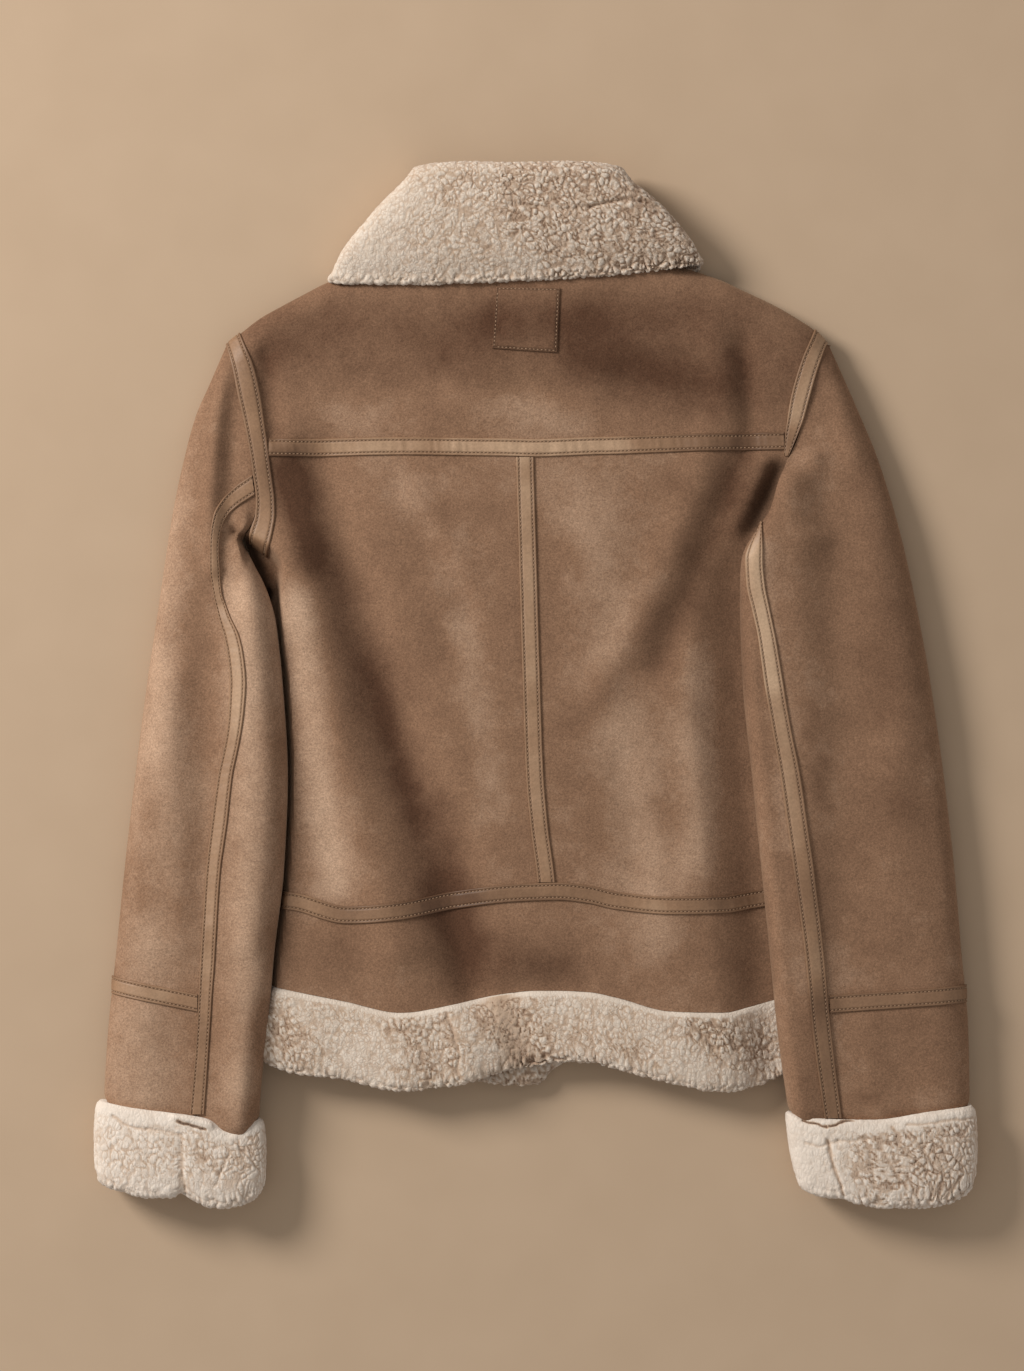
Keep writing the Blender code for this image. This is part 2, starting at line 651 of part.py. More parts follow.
def sleeve_columns(side, y):
    """Columns round a sleeve from its front seam, over its outer edge, to its front seam."""
    inward = 1 if side == "left" else -1
    table = INNER[side]
    outer = float(OUTER.at(side, y))
    armhole = float(SIDE.at(side, y))
    spread = float(table.at("spread", y))
    front = armhole - inward * (ARMHOLE_GAP if y > CROTCH[side] else spread + UNDER_LAP)
    joined = y > INNER_START[side]
    inner = armhole if joined else float(table.at("inner", y))
    inner -= inward * ARMHOLE_GAP * smooth(y, CROTCH[side] - 10, CROTCH[side])
    inner_reach = (inner - outer) * inward
    if y > SEAM_START[side]:
        tape_in = inner_reach
        tape_out = inner_reach - min(TAPE_HALF, inner_reach * SEAM_STRIP)
        seam = inner_reach
    else:
        tape_out = (float(SEAM[side].at("tape_out", y)) - outer) * inward
        tape_in = (float(SEAM[side].at("tape_in", y)) - outer) * inward
        tape_in = min(tape_in, inner_reach - FOLDED_STEP)
        seam = (tape_out + tape_in) / 2
    floor = (front - outer) * inward
    columns = [(floor * f, -1) for f in FLOOR_STEPS] + [(0.0, 0)]
    near = min(1.0, tape_out / ROUND_ROOM)
    columns += [(step * near, 1) for step in ROUND_STEPS]
    rest = tape_out - ROUND_STEPS[-1] * near
    columns += [(ROUND_STEPS[-1] * near + rest * 0.5, 1), (tape_out, 1), (seam, 1)]
    marks = {"edge": len(FLOOR_STEPS), "tape_out": len(columns) - 2, "seam": len(columns) - 1}
    near = min(1.0, (inner_reach - tape_in) / INNER_ROOM)
    columns += [(tape_in, 1)]
    marks["tape_in"] = len(columns) - 1
    columns += [(inner_reach - step * near, 1) for step in INNER_STEPS[::-1]]
    columns += [(inner_reach, 1 if joined else 0)]
    marks["inner"] = len(columns) - 1
    side_reach = (armhole - outer) * inward
    under = [inner_reach - step for step in INNER_STEPS]
    under += [side_reach - spread * f for f in UNDER_STEPS] + [side_reach - spread - UNDER_LAP]
    last = inner_reach
    for reach in under:
        last = last + FOLDED_STEP if joined else min(reach, last - FOLDED_STEP)
        columns += [(last, 1 if joined else -1)]
    marks["last"] = len(columns) - 1
    if y <= CROTCH[side]:
        columns[0] = (last, -1)
        columns[1:len(FLOOR_STEPS)] = [(last * f, -1) for f in FLOOR_STEPS[1:]]
    xs = [outer + inward * reach for reach, _ in columns]
    return xs, [level for _, level in columns], marks


def sleeve_surface(side):
    rows = []
    levels = []
    for y_edge, slope in SLEEVE_ROWS[side]:
        xs, row_levels, marks = sleeve_columns(side, y_edge)
        levels.append(row_levels)
        row = []
        for k in range(len(xs)):
            y = float(y_edge)
            for _ in range(3):
                x = sleeve_columns(side, y)[0][k]
                y = y_edge + slope * abs(x - float(OUTER.at(side, y)))
            row.append((x, y))
        rows.append(row)
    turn = 1 if side == "left" else -1
    places = np.array(rows)[:, ::turn]
    levels = np.array(levels)[:, ::turn]

    def height(x, y, level):
        return sleeve_height(x, y, level, side)

    return lattice(places, levels, height), marks


def make_sleeve(side, jacket):
    skin, marks = sleeve_surface(side)
    last = skin[0].shape[1] - 1
    ys = [y for y, _ in SLEEVE_ROWS[side]]
    wrist, bottom = ys.index(WRIST[side]), len(ys) - 1
    start, crotch = ys.index(SEAM_START[side]), ys.index(CROTCH[side])

    def span(first, end):
        return (first, end) if side == "left" else (last - end, last - first)

    name = "sleeve_" + side
    piece(skin, name + "_top", (0, wrist), span(0, marks["seam"]), "suede", jacket)
    piece(skin, name + "_lower", (wrist, bottom), span(0, marks["seam"]), "suede", jacket)
    first, end = span(marks["seam"], last)
    rows = slice(start, bottom + 1)
    cols = slice(first, end + 1)
    width = last - marks["seam"]
    round_inner = marks["inner"] - marks["seam"]
    lobe = range(round_inner, width) if side == "left" else range(0, width - round_inner)
    missing = {(i, j) for i in range(crotch - start) for j in lobe}
    panel(name + "_under", skin[0][rows, cols], skin[1][rows, cols], SUEDE, SEAM_MARGINS,
          "suede", jacket, missing=missing)
    add_tape(skin, "tape_sleeve_" + side, (start, bottom),
             span(marks["tape_out"], marks["tape_in"]), jacket)
    add_tape(skin, "tape_wrist_" + side, (wrist - 1, wrist + 1),
             span(0, marks["tape_out"]), jacket)


# The ends of each sleeve: turned-up cuffs of pile, by y.
CUFF = {
    "left": Table("y outer inner half", [
        (-312, -322, -203, 17), (-322, -325.5, -200, 19.5), (-340, -326, -199, 20.5),
        (-368, -325, -200, 20), (-381, -321, -204, 17), (-386.5, -309, -214, 11),
    ]),
    "right": Table("y outer inner half", [
        (-317, 323, 188, 17), (-324, 325, 186, 19.5), (-340, 326, 187, 20.5),
        (-368, 325, 190, 20), (-381, 321, 196, 17), (-386.5, 309, 208, 11),
    ]),
}
CUFF_STEPS = 18
CUFF_TILT = {"left": -0.11, "right": -0.08}
CUFF_EDGE = 321.5
CUFF_END = -385.0
CUFF_LEVEL = (-386, -330)  # the lower end is level, so the tilt fades out towards it
END_WALL = 2.0
END_SHARE = 0.55
FLAT = 0.86
SQUARE_X = 0.8
SQUARE_Z = 0.6


def ring(centre, half_width, half_height, y, tilt, steps):
    """A flattened ring round a sleeve end, flat below and domed above."""
    turn = np.linspace(0, 2 * math.pi, steps, endpoint=False)
    c, s = np.cos(turn), np.sin(turn)
    x = centre + half_width * np.sign(c) * np.abs(c) ** SQUARE_X
    z = np.sign(s) * np.abs(s) ** SQUARE_Z
    z = np.where(z < 0, np.maximum(z / FLAT, -1), z)
    drop = tilt * np.abs(np.abs(x) - CUFF_EDGE)
    return np.stack([x, y + drop, half_height * z], axis=1)


def tube(name, rings, finish, jacket):
    """A closed tube with a hollow: rings run down its outer side and back up its inner side."""
    count = len(rings[0])
    points = [point for one in rings for point in one]
    faces = []
    for i in range(len(rings)):
        a, b = i * count, (i + 1) % len(rings) * count
        for k in range(count):
            m = (k + 1) % count
            faces.append((a + k, a + m, b + m))
            faces.append((a + k, b + m, b + k))
    return add_object(name, points, faces, finish, jacket)


def make_cuff(side, jacket):
    table = CUFF[side]
    tilt = CUFF_TILT[side]
    middle = table.rows[:, 3].max()
    outer = []
    inner = []
    for y, out, near, half in table.rows[::-1]:
        centre, width = (out + near) / 2, abs(near - out) / 2
        lean = tilt * smooth(y, *CUFF_LEVEL)
        outer.append(ring(centre, width, half, y, lean, CUFF_STEPS))
        at_end = y < CUFF_END
        thick = CUFF_PILE * END_SHARE if at_end else CUFF_PILE
        top = half - (END_WALL if at_end else CUFF_PILE)
        inner.append(ring(centre, width - thick, top, y, lean, CUFF_STEPS))
    rings = outer + inner[::-1]
    for points in rings:
        points[:, 2] += middle
    tube("cuff_" + side, rings, "pile", jacket)


# The collar folds over: its fall outside, its stand inside, each a flattened ring that is
# open at the front. Side is the y of the ring's two sides; in_x, in_y and in_z lead from the
# pile side to the cloth side between the two layers.
COLLAR = Table("level left right side back front top floor in_x in_y in_z", [
    (0, -157, 128, 306, 299, 222, 38, 0, 7, 0, 7.5),
    (1, -147, 118, 322, 318, 240, 42, 0, 7, 0, 7.5),
    (2, -119, 93, 350, 352, 285, 46, 0, 7.5, 0, 7.5),
    (3, -97, 71, 370, 376, 320, 46.5, 0, 8, 3, 7.5),
    (4, -88, 62, 380, 386.5, 331, 38, 8.5, 8, 8.4, 0),
    (5, -79, 53, 372, 378, 323, 29.5, 17, -7.6, 1, -8),
    (6, -79, 53, 350, 350, 300, 28.5, 17, -8, 0, -8),
    (7, -88, 73, 328, 311.5, 262, 24, 15, -8, 0, -8),
])
COLLAR_MIDDLE = 16.0
COLLAR_TURN = 0.05
COLLAR_STEPS = 27
SIDE_CROWDING = 0.3  # more points at the two sides, where the ring turns
RING_SQUARE = 0.9
RING_BOW = 2.4
RING_RISE = 0.25


def collar_ring(left, right, side, back, front, top, floor):
    """An open flattened ring, from the front round by the left and the back to the front."""
    turn = np.linspace(-1 + COLLAR_TURN, 1 - COLLAR_TURN, COLLAR_STEPS) * math.pi
    turn = turn + SIDE_CROWDING * np.sin(2 * turn)
    s, c = np.sin(turn), np.cos(turn)
    across_ring = np.sign(s) * np.abs(s) ** RING_SQUARE
    x = (left + right) / 2 + (right - left) / 2 * across_ring
    share = 1 - np.abs(across_ring) ** RING_BOW
    y = side + (np.where(c > 0, back, front) - side) * share
    rise = np.abs(c) ** RING_RISE
    z = COLLAR_MIDDLE + (np.where(c > 0, top, floor) - COLLAR_MIDDLE) * rise
    return np.stack([x, y, z], axis=1)


def make_collar(jacket):
    outer = []
    inner = []
    for _, left, right, side, back, front, top, floor, in_x, in_y, in_z in COLLAR.rows:
        outer.append(collar_ring(left, right, side, back, front, top, floor))
        inner.append(collar_ring(left + in_x, right - in_x, side - in_y, back - in_y,
                                 front - in_y, top - in_z, floor + in_z))
    outer, inner = np.array(outer)[::-1], np.array(inner)[::-1]
    wall("collar", outer, inner, "pile", jacket)


# Square patch below the back neck: its corners, top left, top right, bottom left, bottom right.
PATCH_CORNERS = ((-29, 291.5), (18, 290.5), (-32, 246), (16, 243))
PATCH_STEPS = 5


def make_patch(jacket):
    a, b, c, d = np.array(PATCH_CORNERS, float)
    share = np.linspace(0, 1, PATCH_STEPS)
    places = [[(a * (1 - u) + b * u) * (1 - v) + (c * (1 - u) + d * u) * v for u in share]
              for v in share]
    grid, normal = lattice(places, 1, body_height)
    panel("neck_patch", grid, normal, PATCH, (0, 0, 0, 0), "suede", jacket, PATCH + PATCH_LIFT)


def main():
    for obj in list(bpy.data.objects):
        bpy.data.objects.remove(obj, do_unlink=True)
    jacket = collection(NAME)
    make_back(jacket)
    make_front(jacket)
    make_hem(jacket)
    make_collar(jacket)
    make_patch(jacket)
    for side in ("left", "right"):
        make_sleeve(side, jacket)
        make_cuff(side, jacket)


main()
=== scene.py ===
"""Faux shearling aviator jacket, laid flat with its back up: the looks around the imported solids.

Every size in the shape code is in millimetres, in the same frame as the solids.
"""

import math
from functools import partial

import bpy
import numpy as np
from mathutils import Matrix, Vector


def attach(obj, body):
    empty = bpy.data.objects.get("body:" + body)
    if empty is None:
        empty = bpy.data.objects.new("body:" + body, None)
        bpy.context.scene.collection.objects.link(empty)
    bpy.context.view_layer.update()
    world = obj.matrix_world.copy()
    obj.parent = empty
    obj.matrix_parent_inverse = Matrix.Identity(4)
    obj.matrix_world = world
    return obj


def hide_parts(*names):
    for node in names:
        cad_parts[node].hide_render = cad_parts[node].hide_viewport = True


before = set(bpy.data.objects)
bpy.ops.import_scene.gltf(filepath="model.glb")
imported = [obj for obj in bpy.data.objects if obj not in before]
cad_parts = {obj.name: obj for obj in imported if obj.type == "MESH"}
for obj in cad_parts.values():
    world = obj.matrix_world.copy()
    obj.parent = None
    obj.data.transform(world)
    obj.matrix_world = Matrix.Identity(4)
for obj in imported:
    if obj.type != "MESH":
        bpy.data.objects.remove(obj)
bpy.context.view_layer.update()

METRE = 0.001
SEAM_GAP = 0.25  # from the edge of a piece to the line of its seam
TAPE_HALF = 6.5
ARMHOLE_GAP = 0.6
SUEDE = 2.2
PRESSED = 1.0
PRESSED_SHARE = 0.2  # of the room between the back and the front
STEEP = np.array([1.0, 1.0, 1.6])  # slopes of the cloth, drawn out in its noises
INWARD = {"left": 1, "right": -1}  # the way along x from a sleeve's outer to its inner edge
HALF = {"back": 1, "front": -1}  # the level of each half of the body

# Noise


def hashed(cells, seed):
    """A steady value from 0 to 1 for each whole-numbered cell, mixed from its bits."""
    n = cells.astype(np.int64)
    h = n[..., 0] * 374761393 + n[..., 1] * 668265263 + n[..., 2] * 2147483647 + seed * 974711
    h = (h ^ (h >> 13)) * 1274126177 & 0xFFFFFFFF
    h = (h ^ (h >> 16)) * 2246822519 & 0xFFFFFFFF
    return ((h ^ (h >> 15)) & 0xFFFFFF) / float(0xFFFFFF)


CORNERS = [(a, b, c) for a in (0, 1) for b in (0, 1) for c in (0, 1)]
AROUND = [(a, b, c) for a in (-1, 0, 1) for b in (-1, 0, 1) for c in (-1, 0, 1)]


def noise(points, size, seed):
    """Smooth noise from -1 to 1 with features of this size."""
    p = np.asarray(points, float) / size
    base = np.floor(p)
    t = p - base
    t = t * t * (3 - 2 * t)
    total = np.zeros(p.shape[:-1])
    for corner in CORNERS:
        c = np.array(corner)
        weight = np.prod(np.where(c == 1, t, 1 - t), axis=-1)
        total += weight * hashed(base + c, seed)
    return total * 2 - 1


def cells(points, size, seed):
    """Distances to the nearest two of many scattered centres, and the values of those two."""
    p = np.asarray(points, float) / size
    base = np.floor(p)
    first = np.full(p.shape[:-1], 9.0)
    second = first.copy()
    value = np.zeros(p.shape[:-1])
    other = value.copy()
    for corner in AROUND:
        cell = base + np.array(corner)
        centre = cell + np.stack([hashed(cell, seed + k) for k in (1, 2, 3)], axis=-1)
        d = np.linalg.norm(p - centre, axis=-1)
        nearer = d < first
        next_one = ~nearer & (d < second)
        own = hashed(cell, seed + 4)
        other = np.where(nearer, value, np.where(next_one, own, other))
        second = np.where(nearer, first, np.where(next_one, d, second))
        value = np.where(nearer, own, value)
        first = np.where(nearer, d, first)
    return first, second, value, other


# Heights of the lying jacket, in millimetres
OUTER_EDGE = 12.0
SIDE_EDGE = 6.5
SIDE_TOP = 13.0
BODY_TOP = 25.0
NECK_RAISE = 11.5
SHOULDER_ROUND = 16.0
SLEEVE_ROUND = 30.0
SIDE_ROUND = 8.0
INNER_ROUND = {"left": 17.0, "right": 11.0}
INNER_TIGHT = {"left": 0.22, "right": 1.0}
AWAY = {"left": 5.0, "right": 26.0}
AWAY_FULL = 26.0
AWAY_GROWS = (8, 40)  # above the start of the inner edge
AWAY_SOON = 22.0  # below that start
INNER_OPEN = 32.0
LIFT_SPREAD = 34.0
LIFT_SHOWN = 0.45  # of a sleeve's lift, in its crown
BASE_SHOWN = 0.6  # of a sleeve's height above the floor, in its outer edge
UNDER_ROUND = 0.6  # of the outer edge's rounding, below

# The back swells a little about its middle, where the jacket is fullest.
SWELL = 3
SWELL_X = -8
SWELL_REACH = 110

# The front lies over the collar's fall inside an oval about the neck.
NECK_X = -12
NECK_Y = 300
NECK_HALF_WIDTH = 168
NECK_HALF_LENGTH = 100
NECK_SLOPE = (0.96, 1.22)  # shares of the oval between which the front comes down


class Table:
    """Rows of sizes under named columns, read by the first column along a smooth curve."""

    def __init__(self, columns, rows):
        self.columns = columns.split()
        self.rows = np.array(sorted(rows), float)

    def at(self, column, key):
        x = self.rows[:, 0]
        y = self.rows[:, self.columns.index(column)]
        step = np.diff(y) / np.diff(x)
        slope = np.empty(len(x))
        slope[0] = step[0]
        slope[-1] = step[-1]
        turning = step[:-1] * step[1:] <= 0
        mean = 2 * step[:-1] * step[1:] / np.where(turning, 1, step[:-1] + step[1:])
        slope[1:-1] = np.where(turning, 0, mean)
        key = np.clip(key, x[0], x[-1])
        i = np.clip(np.searchsorted(x, key) - 1, 0, len(x) - 2)
        width = x[i + 1] - x[i]
        t = (key - x[i]) / width
        near = (1 + 2 * t) * (1 - t) ** 2 * y[i] + t * (1 - t) ** 2 * width * slope[i]
        far = t * t * (3 - 2 * t) * y[i + 1] + t * t * (t - 1) * width * slope[i + 1]
        return near + far


# Armhole seams, and below y = 105 or 110 the body's side edges under the sleeves.
SIDE = Table("y left right", [
    (250, -226.5, 214.5), (235, -223.5, 208.5), (220, -221, 204), (200, -216, 199), (180, -212, 193),
    (165, -210, 187), (145, -207, 184), (131, -206, 184), (117, -209, 187), (105, -216, 193),
    (98, -213.5, 191), (92, -212, 190), (85, -209.5, 189.5), (75, -206, 189), (60, -205, 189),
    (0, -209, 192),
    (-100, -212, 195), (-220, -212, 196), (-301, -211, 194),
])
CROTCH = {"left": 105.0, "right": 110.0}

# Outer edge of each sleeve.
OUTER = Table("y left right", [
    (250, -229, 217.5), (220, -242, 231), (197, -252, 241), (168, -260, 253), (131, -268, 265),
    (101, -273, 273), (60, -279, 282), (0, -288, 293), (-70, -297, 303), (-140, -305, 311),
    (-200, -311, 316), (-260, -317, 321), (-330, -321, 322),
])

# Inner edge of each sleeve, which lies on the body: its place, the height of its middle,
# the height that its underside clears, and how far that underside takes to reach the floor.
INNER = {"left": Table("y inner edge lift spread", [
    (105, -217, 11, 1, 3), (102, -216.2, 15, 4, 7), (98, -214.5, 18, 8, 12), (92, -211, 21, 12, 20),
    (85, -207.5, 22, 15, 26), (75, -202, 24, 16, 28), (60, -196, 25, 16, 28),
    (45, -192, 25, 16, 28), (30, -190, 25, 16, 28), (0, -187, 25, 16, 28),
    (-70, -183, 25, 16, 28), (-140, -186, 25, 16, 28), (-200, -193, 25, 16, 28),
    (-260, -198, 24, 16, 28), (-290, -202, 23, 15, 28), (-330, -205, 21, 8, 28),
]), "right": Table("y inner edge lift spread", [
    (170, 188.8, 24.5, 21, 3), (164, 186, 27.5, 23.5, 3), (158, 183, 31, 26, 3),
    (150, 179, 34, 28, 3), (127, 172, 35, 28, 3), (110, 161, 34, 27, 4),
    (90, 152, 31, 23, 20), (75, 151, 28, 18, 28), (60, 151, 26, 17, 28), (0, 153, 25, 16, 28),
    (-70, 160, 25, 16, 28), (-140, 167, 25, 16, 28), (-200, 173, 25, 16, 28),
    (-260, 179, 24, 16, 28), (-290, 183, 23, 15, 28), (-330, 189, 21, 8, 28),
])}
INNER_START = {"left": 105.0, "right": 170.0}

# Edges of the tape over each sleeve's back seam.
SEAM = {"left": Table("y tape_out tape_in", [
    (152, -208, -207), (145, -219, -208), (131, -231, -218), (118, -236, -231), (101, -240, -234),
    (85, -240, -235), (60, -237, -230), (30, -229, -217), (0, -225, -213), (-35, -227, -216),
    (-70, -234, -223), (-105, -239, -227), (-140, -243, -232), (-200, -247, -236),
    (-260, -250, -240), (-330, -256, -245),
]), "right": Table("y tape_out tape_in", [
    (110, 167, 163), (101, 167, 159), (85, 167, 154), (60, 171, 158), (30, 177, 164),
    (0, 182, 168), (-35, 188, 174), (-70, 195, 180), (-105, 200, 185), (-140, 205, 190),
    (-200, 212, 198), (-260, 218, 204), (-330, 227, 214),
])}
SEAM_START = {"left": 145.0, "right": 110.0}

# Height of each sleeve's middle, and of its underside above the floor.
SLEEVE = Table("y crown base", [
    (250, 24, 0), (168, 27, 0), (101, 31, 0), (0, 33, 0), (-150, 33, 0), (-228, 33, 3),
    (-290, 33, 7), (-330, 34, 8),
])

# The centre-back seam, and the line where the fronts meet.
CENTRE = Table("y back front", [
    (-301, 14, 16), (-230, 12, 15), (-150, 8, 11), (-105, 2.5, 8), (-70, -0.5, 6), (0, -3, 2),
    (101, -6, -4), (173, -8, -8), (330, -10, -12),
])

# Seams across the body, by x. The front hem hangs lower beside the centre front.
ACROSS = Table("x yoke waist band hem front_hem", [
    (-230, 173, -158, -218, -270, -262), (-212, 173, -160, -222, -274, -266),
    (-180, 173, -162.5, -229, -287, -276), (-140, 173.5, -172.5, -237, -292, -284),
    (-100, 174, -169.5, -245, -300, -290), (-60, 173.5, -162, -239, -296, -292),
    (-20, 173, -156.5, -231, -285, -298), (0, 172.5, -155.5, -229, -282, -297),
    (16, 173, -155, -229, -279, -284), (40, 174, -157.5, -230, -279, -272),
    (60, 174.5, -162, -234, -284, -272), (100, 176, -165.5, -244, -294, -280),
    (140, 177, -165, -245, -301, -286), (160, 177.5, -162, -241, -298, -284),
    (196, 178, -156, -232, -286, -274), (230, 178, -152, -228, -280, -270),
])

# Shoulder lines, with the neck between its points at x = -95 and x = 80. The front's line
# differs only there.
TOP = Table("x back front", [(x, back, *(front or [back])) for x, back, *front in [
    (-229, 250), (-219, 258), (-204, 269.5), (-189, 278), (-174, 286), (-152, 297), (-136, 302),
    (-116, 310), (-95, 322), (-70, 315, 284), (-40, 310, 260), (-8, 308, 252), (30, 310, 260),
    (58, 316, 286), (80, 325), (100, 311), (122, 303), (137, 298), (151, 291.5), (166, 284.5),
    (181, 277), (196, 268), (207, 260.5), (217, 250),
]])
NECK = {"left": -95.0, "right": 80.0}

# The folds of each part: a path bent towards its middle point, its height and its width.
FOLDS = {
    # x0, y0, x1, y1, x2, y2, height, width
    "body": [
        (-180, 96, -150, -40, -104, -195, 7.0, 20),
        (-160, 160, -106, -20, -44, -230, -8.0, 21),
        (128, 178, 100, 88, 50, -2, 3.0, 13),
        (157, 172, 126, 100, 92, 14, -4.5, 12),
        (179, 155, 172, 136, 160, 112, -9.0, 8),
        (-104, 134, -72, 96, -50, 48, -1.5, 8),
        (-90, 140, -60, 104, -38, 60, 1.1, 8),
        (-62, -130, -58, -190, -50, -225, -3.0, 16),
        (-96, -215, -100, -260, -104, -300, 2.0, 22),
        (100, -175, 108, -230, 112, -300, 3.0, 30),
        (-199, 240, -197, 210, -193, 184, -4.2, 8),
        (154, 250, 157, 220, 160, 190, -3.4, 9),
        (132, 262, 138, 225, 142, 196, 2.4, 12),
        (30, 268, 72, 240, 132, 214, 2.4, 20),
        (70, 222, 100, 208, 132, 186, -2.8, 16),
        (-128, 262, -88, 236, -30, 224, 1.6, 16),
        (-60, 206, -20, 196, 40, 204, 1.2, 12),
        (38, 120, 46, 60, 40, -40, 1.5, 24),
        (112, -20, 120, -80, 118, -150, 2.4, 15),
        (64, -60, 76, -110, 72, -150, -1.3, 12),
        (-14, -236, -12, -258, -10, -286, -5.5, 19),
        (16, -234, 18, -256, 18, -286, -4.5, 26),
        (-60, -240, -52, -262, -50, -296, 2.4, 12),
    ],
    "left": [
        (-231, 238, -244, 140, -238, 84, 3.6, 7),
        (-221, 214, -228, 136, -225, 60, -3.4, 9),
        (-251, 60, -241, -30, -247, -170, -2.2, 13),
        (-210, 66, -200, -60, -212, -190, 3.6, 14),
        (-274, -6, -267, -80, -262, -190, 2.4, 14),
        (-262, 150, -268, 80, -268, 20, -1.6, 12),
        (-224, -236, -218, -280, -218, -326, 2.4, 15),
        (-290, -250, -286, -285, -284, -318, 1.6, 14),
        (-224, 111.5, -220, 108.5, -216, 105, -5.0, 2.6),
    ],
    "right": [
        (224, 231, 230, 200, 236, 170, 2.8, 11),
        (210, 214, 220, 176, 230, 142, -1.2, 14),
        (262, 140, 254, 90, 250, 40, 1.4, 17),
        (226, 60, 228, 10, 236, -40, -1.0, 16),
        (268, -30, 260, -100, 262, -190, 1.6, 16),
        (288, -60, 290, -130, 296, -200, -1.4, 12),
        (246, -250, 250, -285, 252, -322, 1.6, 14),
    ],
}


def smooth(value, low, high):
    """0 up to low, 1 past high, with a soft curve between."""
    t = np.clip((value - low) / (high - low), 0, 1)
    return t * t * (3 - 2 * t)


def distance(x, y, path):
    """Shortest distance from each point to a path of straight runs."""
    a = path[:-1]
    run = path[1:] - a
    px = np.asarray(x, float)[..., None] - a[:, 0]
    py = np.asarray(y, float)[..., None] - a[:, 1]
    t = np.clip((px * run[:, 0] + py * run[:, 1]) / (run ** 2).sum(axis=1), 0, 1)
    return np.hypot(px - t * run[:, 0], py - t * run[:, 1]).min(axis=-1)


def xy(points):
    """The x and the y of points."""
    return points[..., 0], points[..., 1]


def unit(vectors, least=1e-12):
    """Vectors of length 1. The least length keeps one of no length from a division by 0."""
    return vectors / (np.linalg.norm(vectors, axis=-1, keepdims=True) + least)


def bent_path(ends, count):
    """Points along a path from its start, bent towards its middle point, to its end."""
    t = np.linspace(0, 1, count)[:, None]
    start, bend, end = np.array(ends, float).reshape(3, 2)
    return (1 - t) ** 2 * start + 2 * t * (1 - t) * bend + t * t * end


def dome(reach, radius):
    """A rounded edge: 0 at the edge, 1 from one radius inside it."""
    t = np.clip(reach / radius, 0, 1)
    return np.sqrt(np.maximum(1 - (1 - t) ** 2, 0))


def bell(value):
    """1 at 0, fading to 0 on both sides."""
    return np.exp(-(value ** 2))


def strokes(x, y, table, count=13):
    """Sum of the strokes of a table at each point: their amounts, fading over their widths."""
    total = np.zeros(np.shape(x))
    for *ends, amount, width in table:
        total = total + amount * bell(distance(x, y, bent_path(ends, count)) / width)
    return total


def beside(table, column, low, high, x, y):
    """Distance of a point from the line that a table's column draws between two keys."""
    key = np.clip(y, low, high)
    slope = table.at(column, np.minimum(key + 1, high)) - table.at(column, np.maximum(key - 1, low))
    slope = slope / (np.minimum(key + 1, high) - np.maximum(key - 1, low))
    return np.hypot((x - table.at(column, key)) / np.sqrt(1 + slope ** 2), y - key)


SHOULDER_SPAN = {"left": (-229.0, NECK["left"]), "right": (NECK["right"], 217.0)}


def from_shoulder(side, x, y):
    return beside(TOP, "back", *SHOULDER_SPAN[side], y, x)


def from_outer(side, x, y):
    return beside(OUTER, side, -330, 250, x, y)


def from_side(side, x, y):
    return beside(SIDE, side, -301, CROTCH[side], x, y)


def from_inner(side, x, y):
    return beside(INNER[side], "inner", -330, INNER_START[side], x, y)


# Slight unevenness of cloth that lies loose: height, size and seed of each part.
RIPPLES = ((0.8, 46, 3), (0.35, 21, 5), (0.1, 9, 7))


def ripples(x, y):
    flat = np.stack([x, y, np.zeros(np.shape(x))], axis=-1)
    return sum(height * noise(flat, size, seed) for height, size, seed in RIPPLES)


def fold_height(x, y, part):
    """Sum of the folds on one part."""
    return strokes(x, y, FOLDS[part], 17)


# The hollow of the left armpit: the line where the back rises again, and the lines where
# the back starts to sink and where it is down. On the right it sinks between two values of
# y, and rises again over a span of distances from the sleeve's inner edge.
ARMPIT = Table("y rise", [
    (112, -193), (102, -192), (92, -191.5), (75, -192.5), (60, -193), (30, -191), (0, -187.5),
    (-70, -184.5), (-140, -187), (-200, -194), (-240, -199), (-256, -206), (-301, -214),
])
ARMPIT_LIP = Table("x start end", [
    (-226, 113, 110), (-216, 111, 105.5), (-206, 108, 97), (-196, 102, 87), (-186, 92, 78),
    (-176, 84, 70),
])
ARMPIT_RISE = 6.0
ARMPIT_FLOOR = 9.0
RIGHT_LOW = (125.0, 70.0)
RIGHT_RISE = (2.0, 44.0)


def body_crown(x, y):
    """Height of the back without its rounded edges. It is low where a sleeve lies on it."""
    top = BODY_TOP + SWELL * bell((x - SWELL_X) / SWELL_REACH) + fold_height(x, y, "body")
    top = top + ripples(x, y)
    start, end = ARMPIT_LIP.at("start", x), ARMPIT_LIP.at("end", x)
    below = smooth((start - y) / (start - end), 0, 1)
    low = below * (1 - smooth(x - ARMPIT.at("rise", y), 0, ARMPIT_RISE))
    top = top + (ARMPIT_FLOOR - top) * low
    clear = INNER["right"].at("inner", y) - x
    low = smooth(-y, -RIGHT_LOW[0], -RIGHT_LOW[1]) * (1 - smooth(clear, *RIGHT_RISE))
    return top + (SIDE_TOP - top) * low


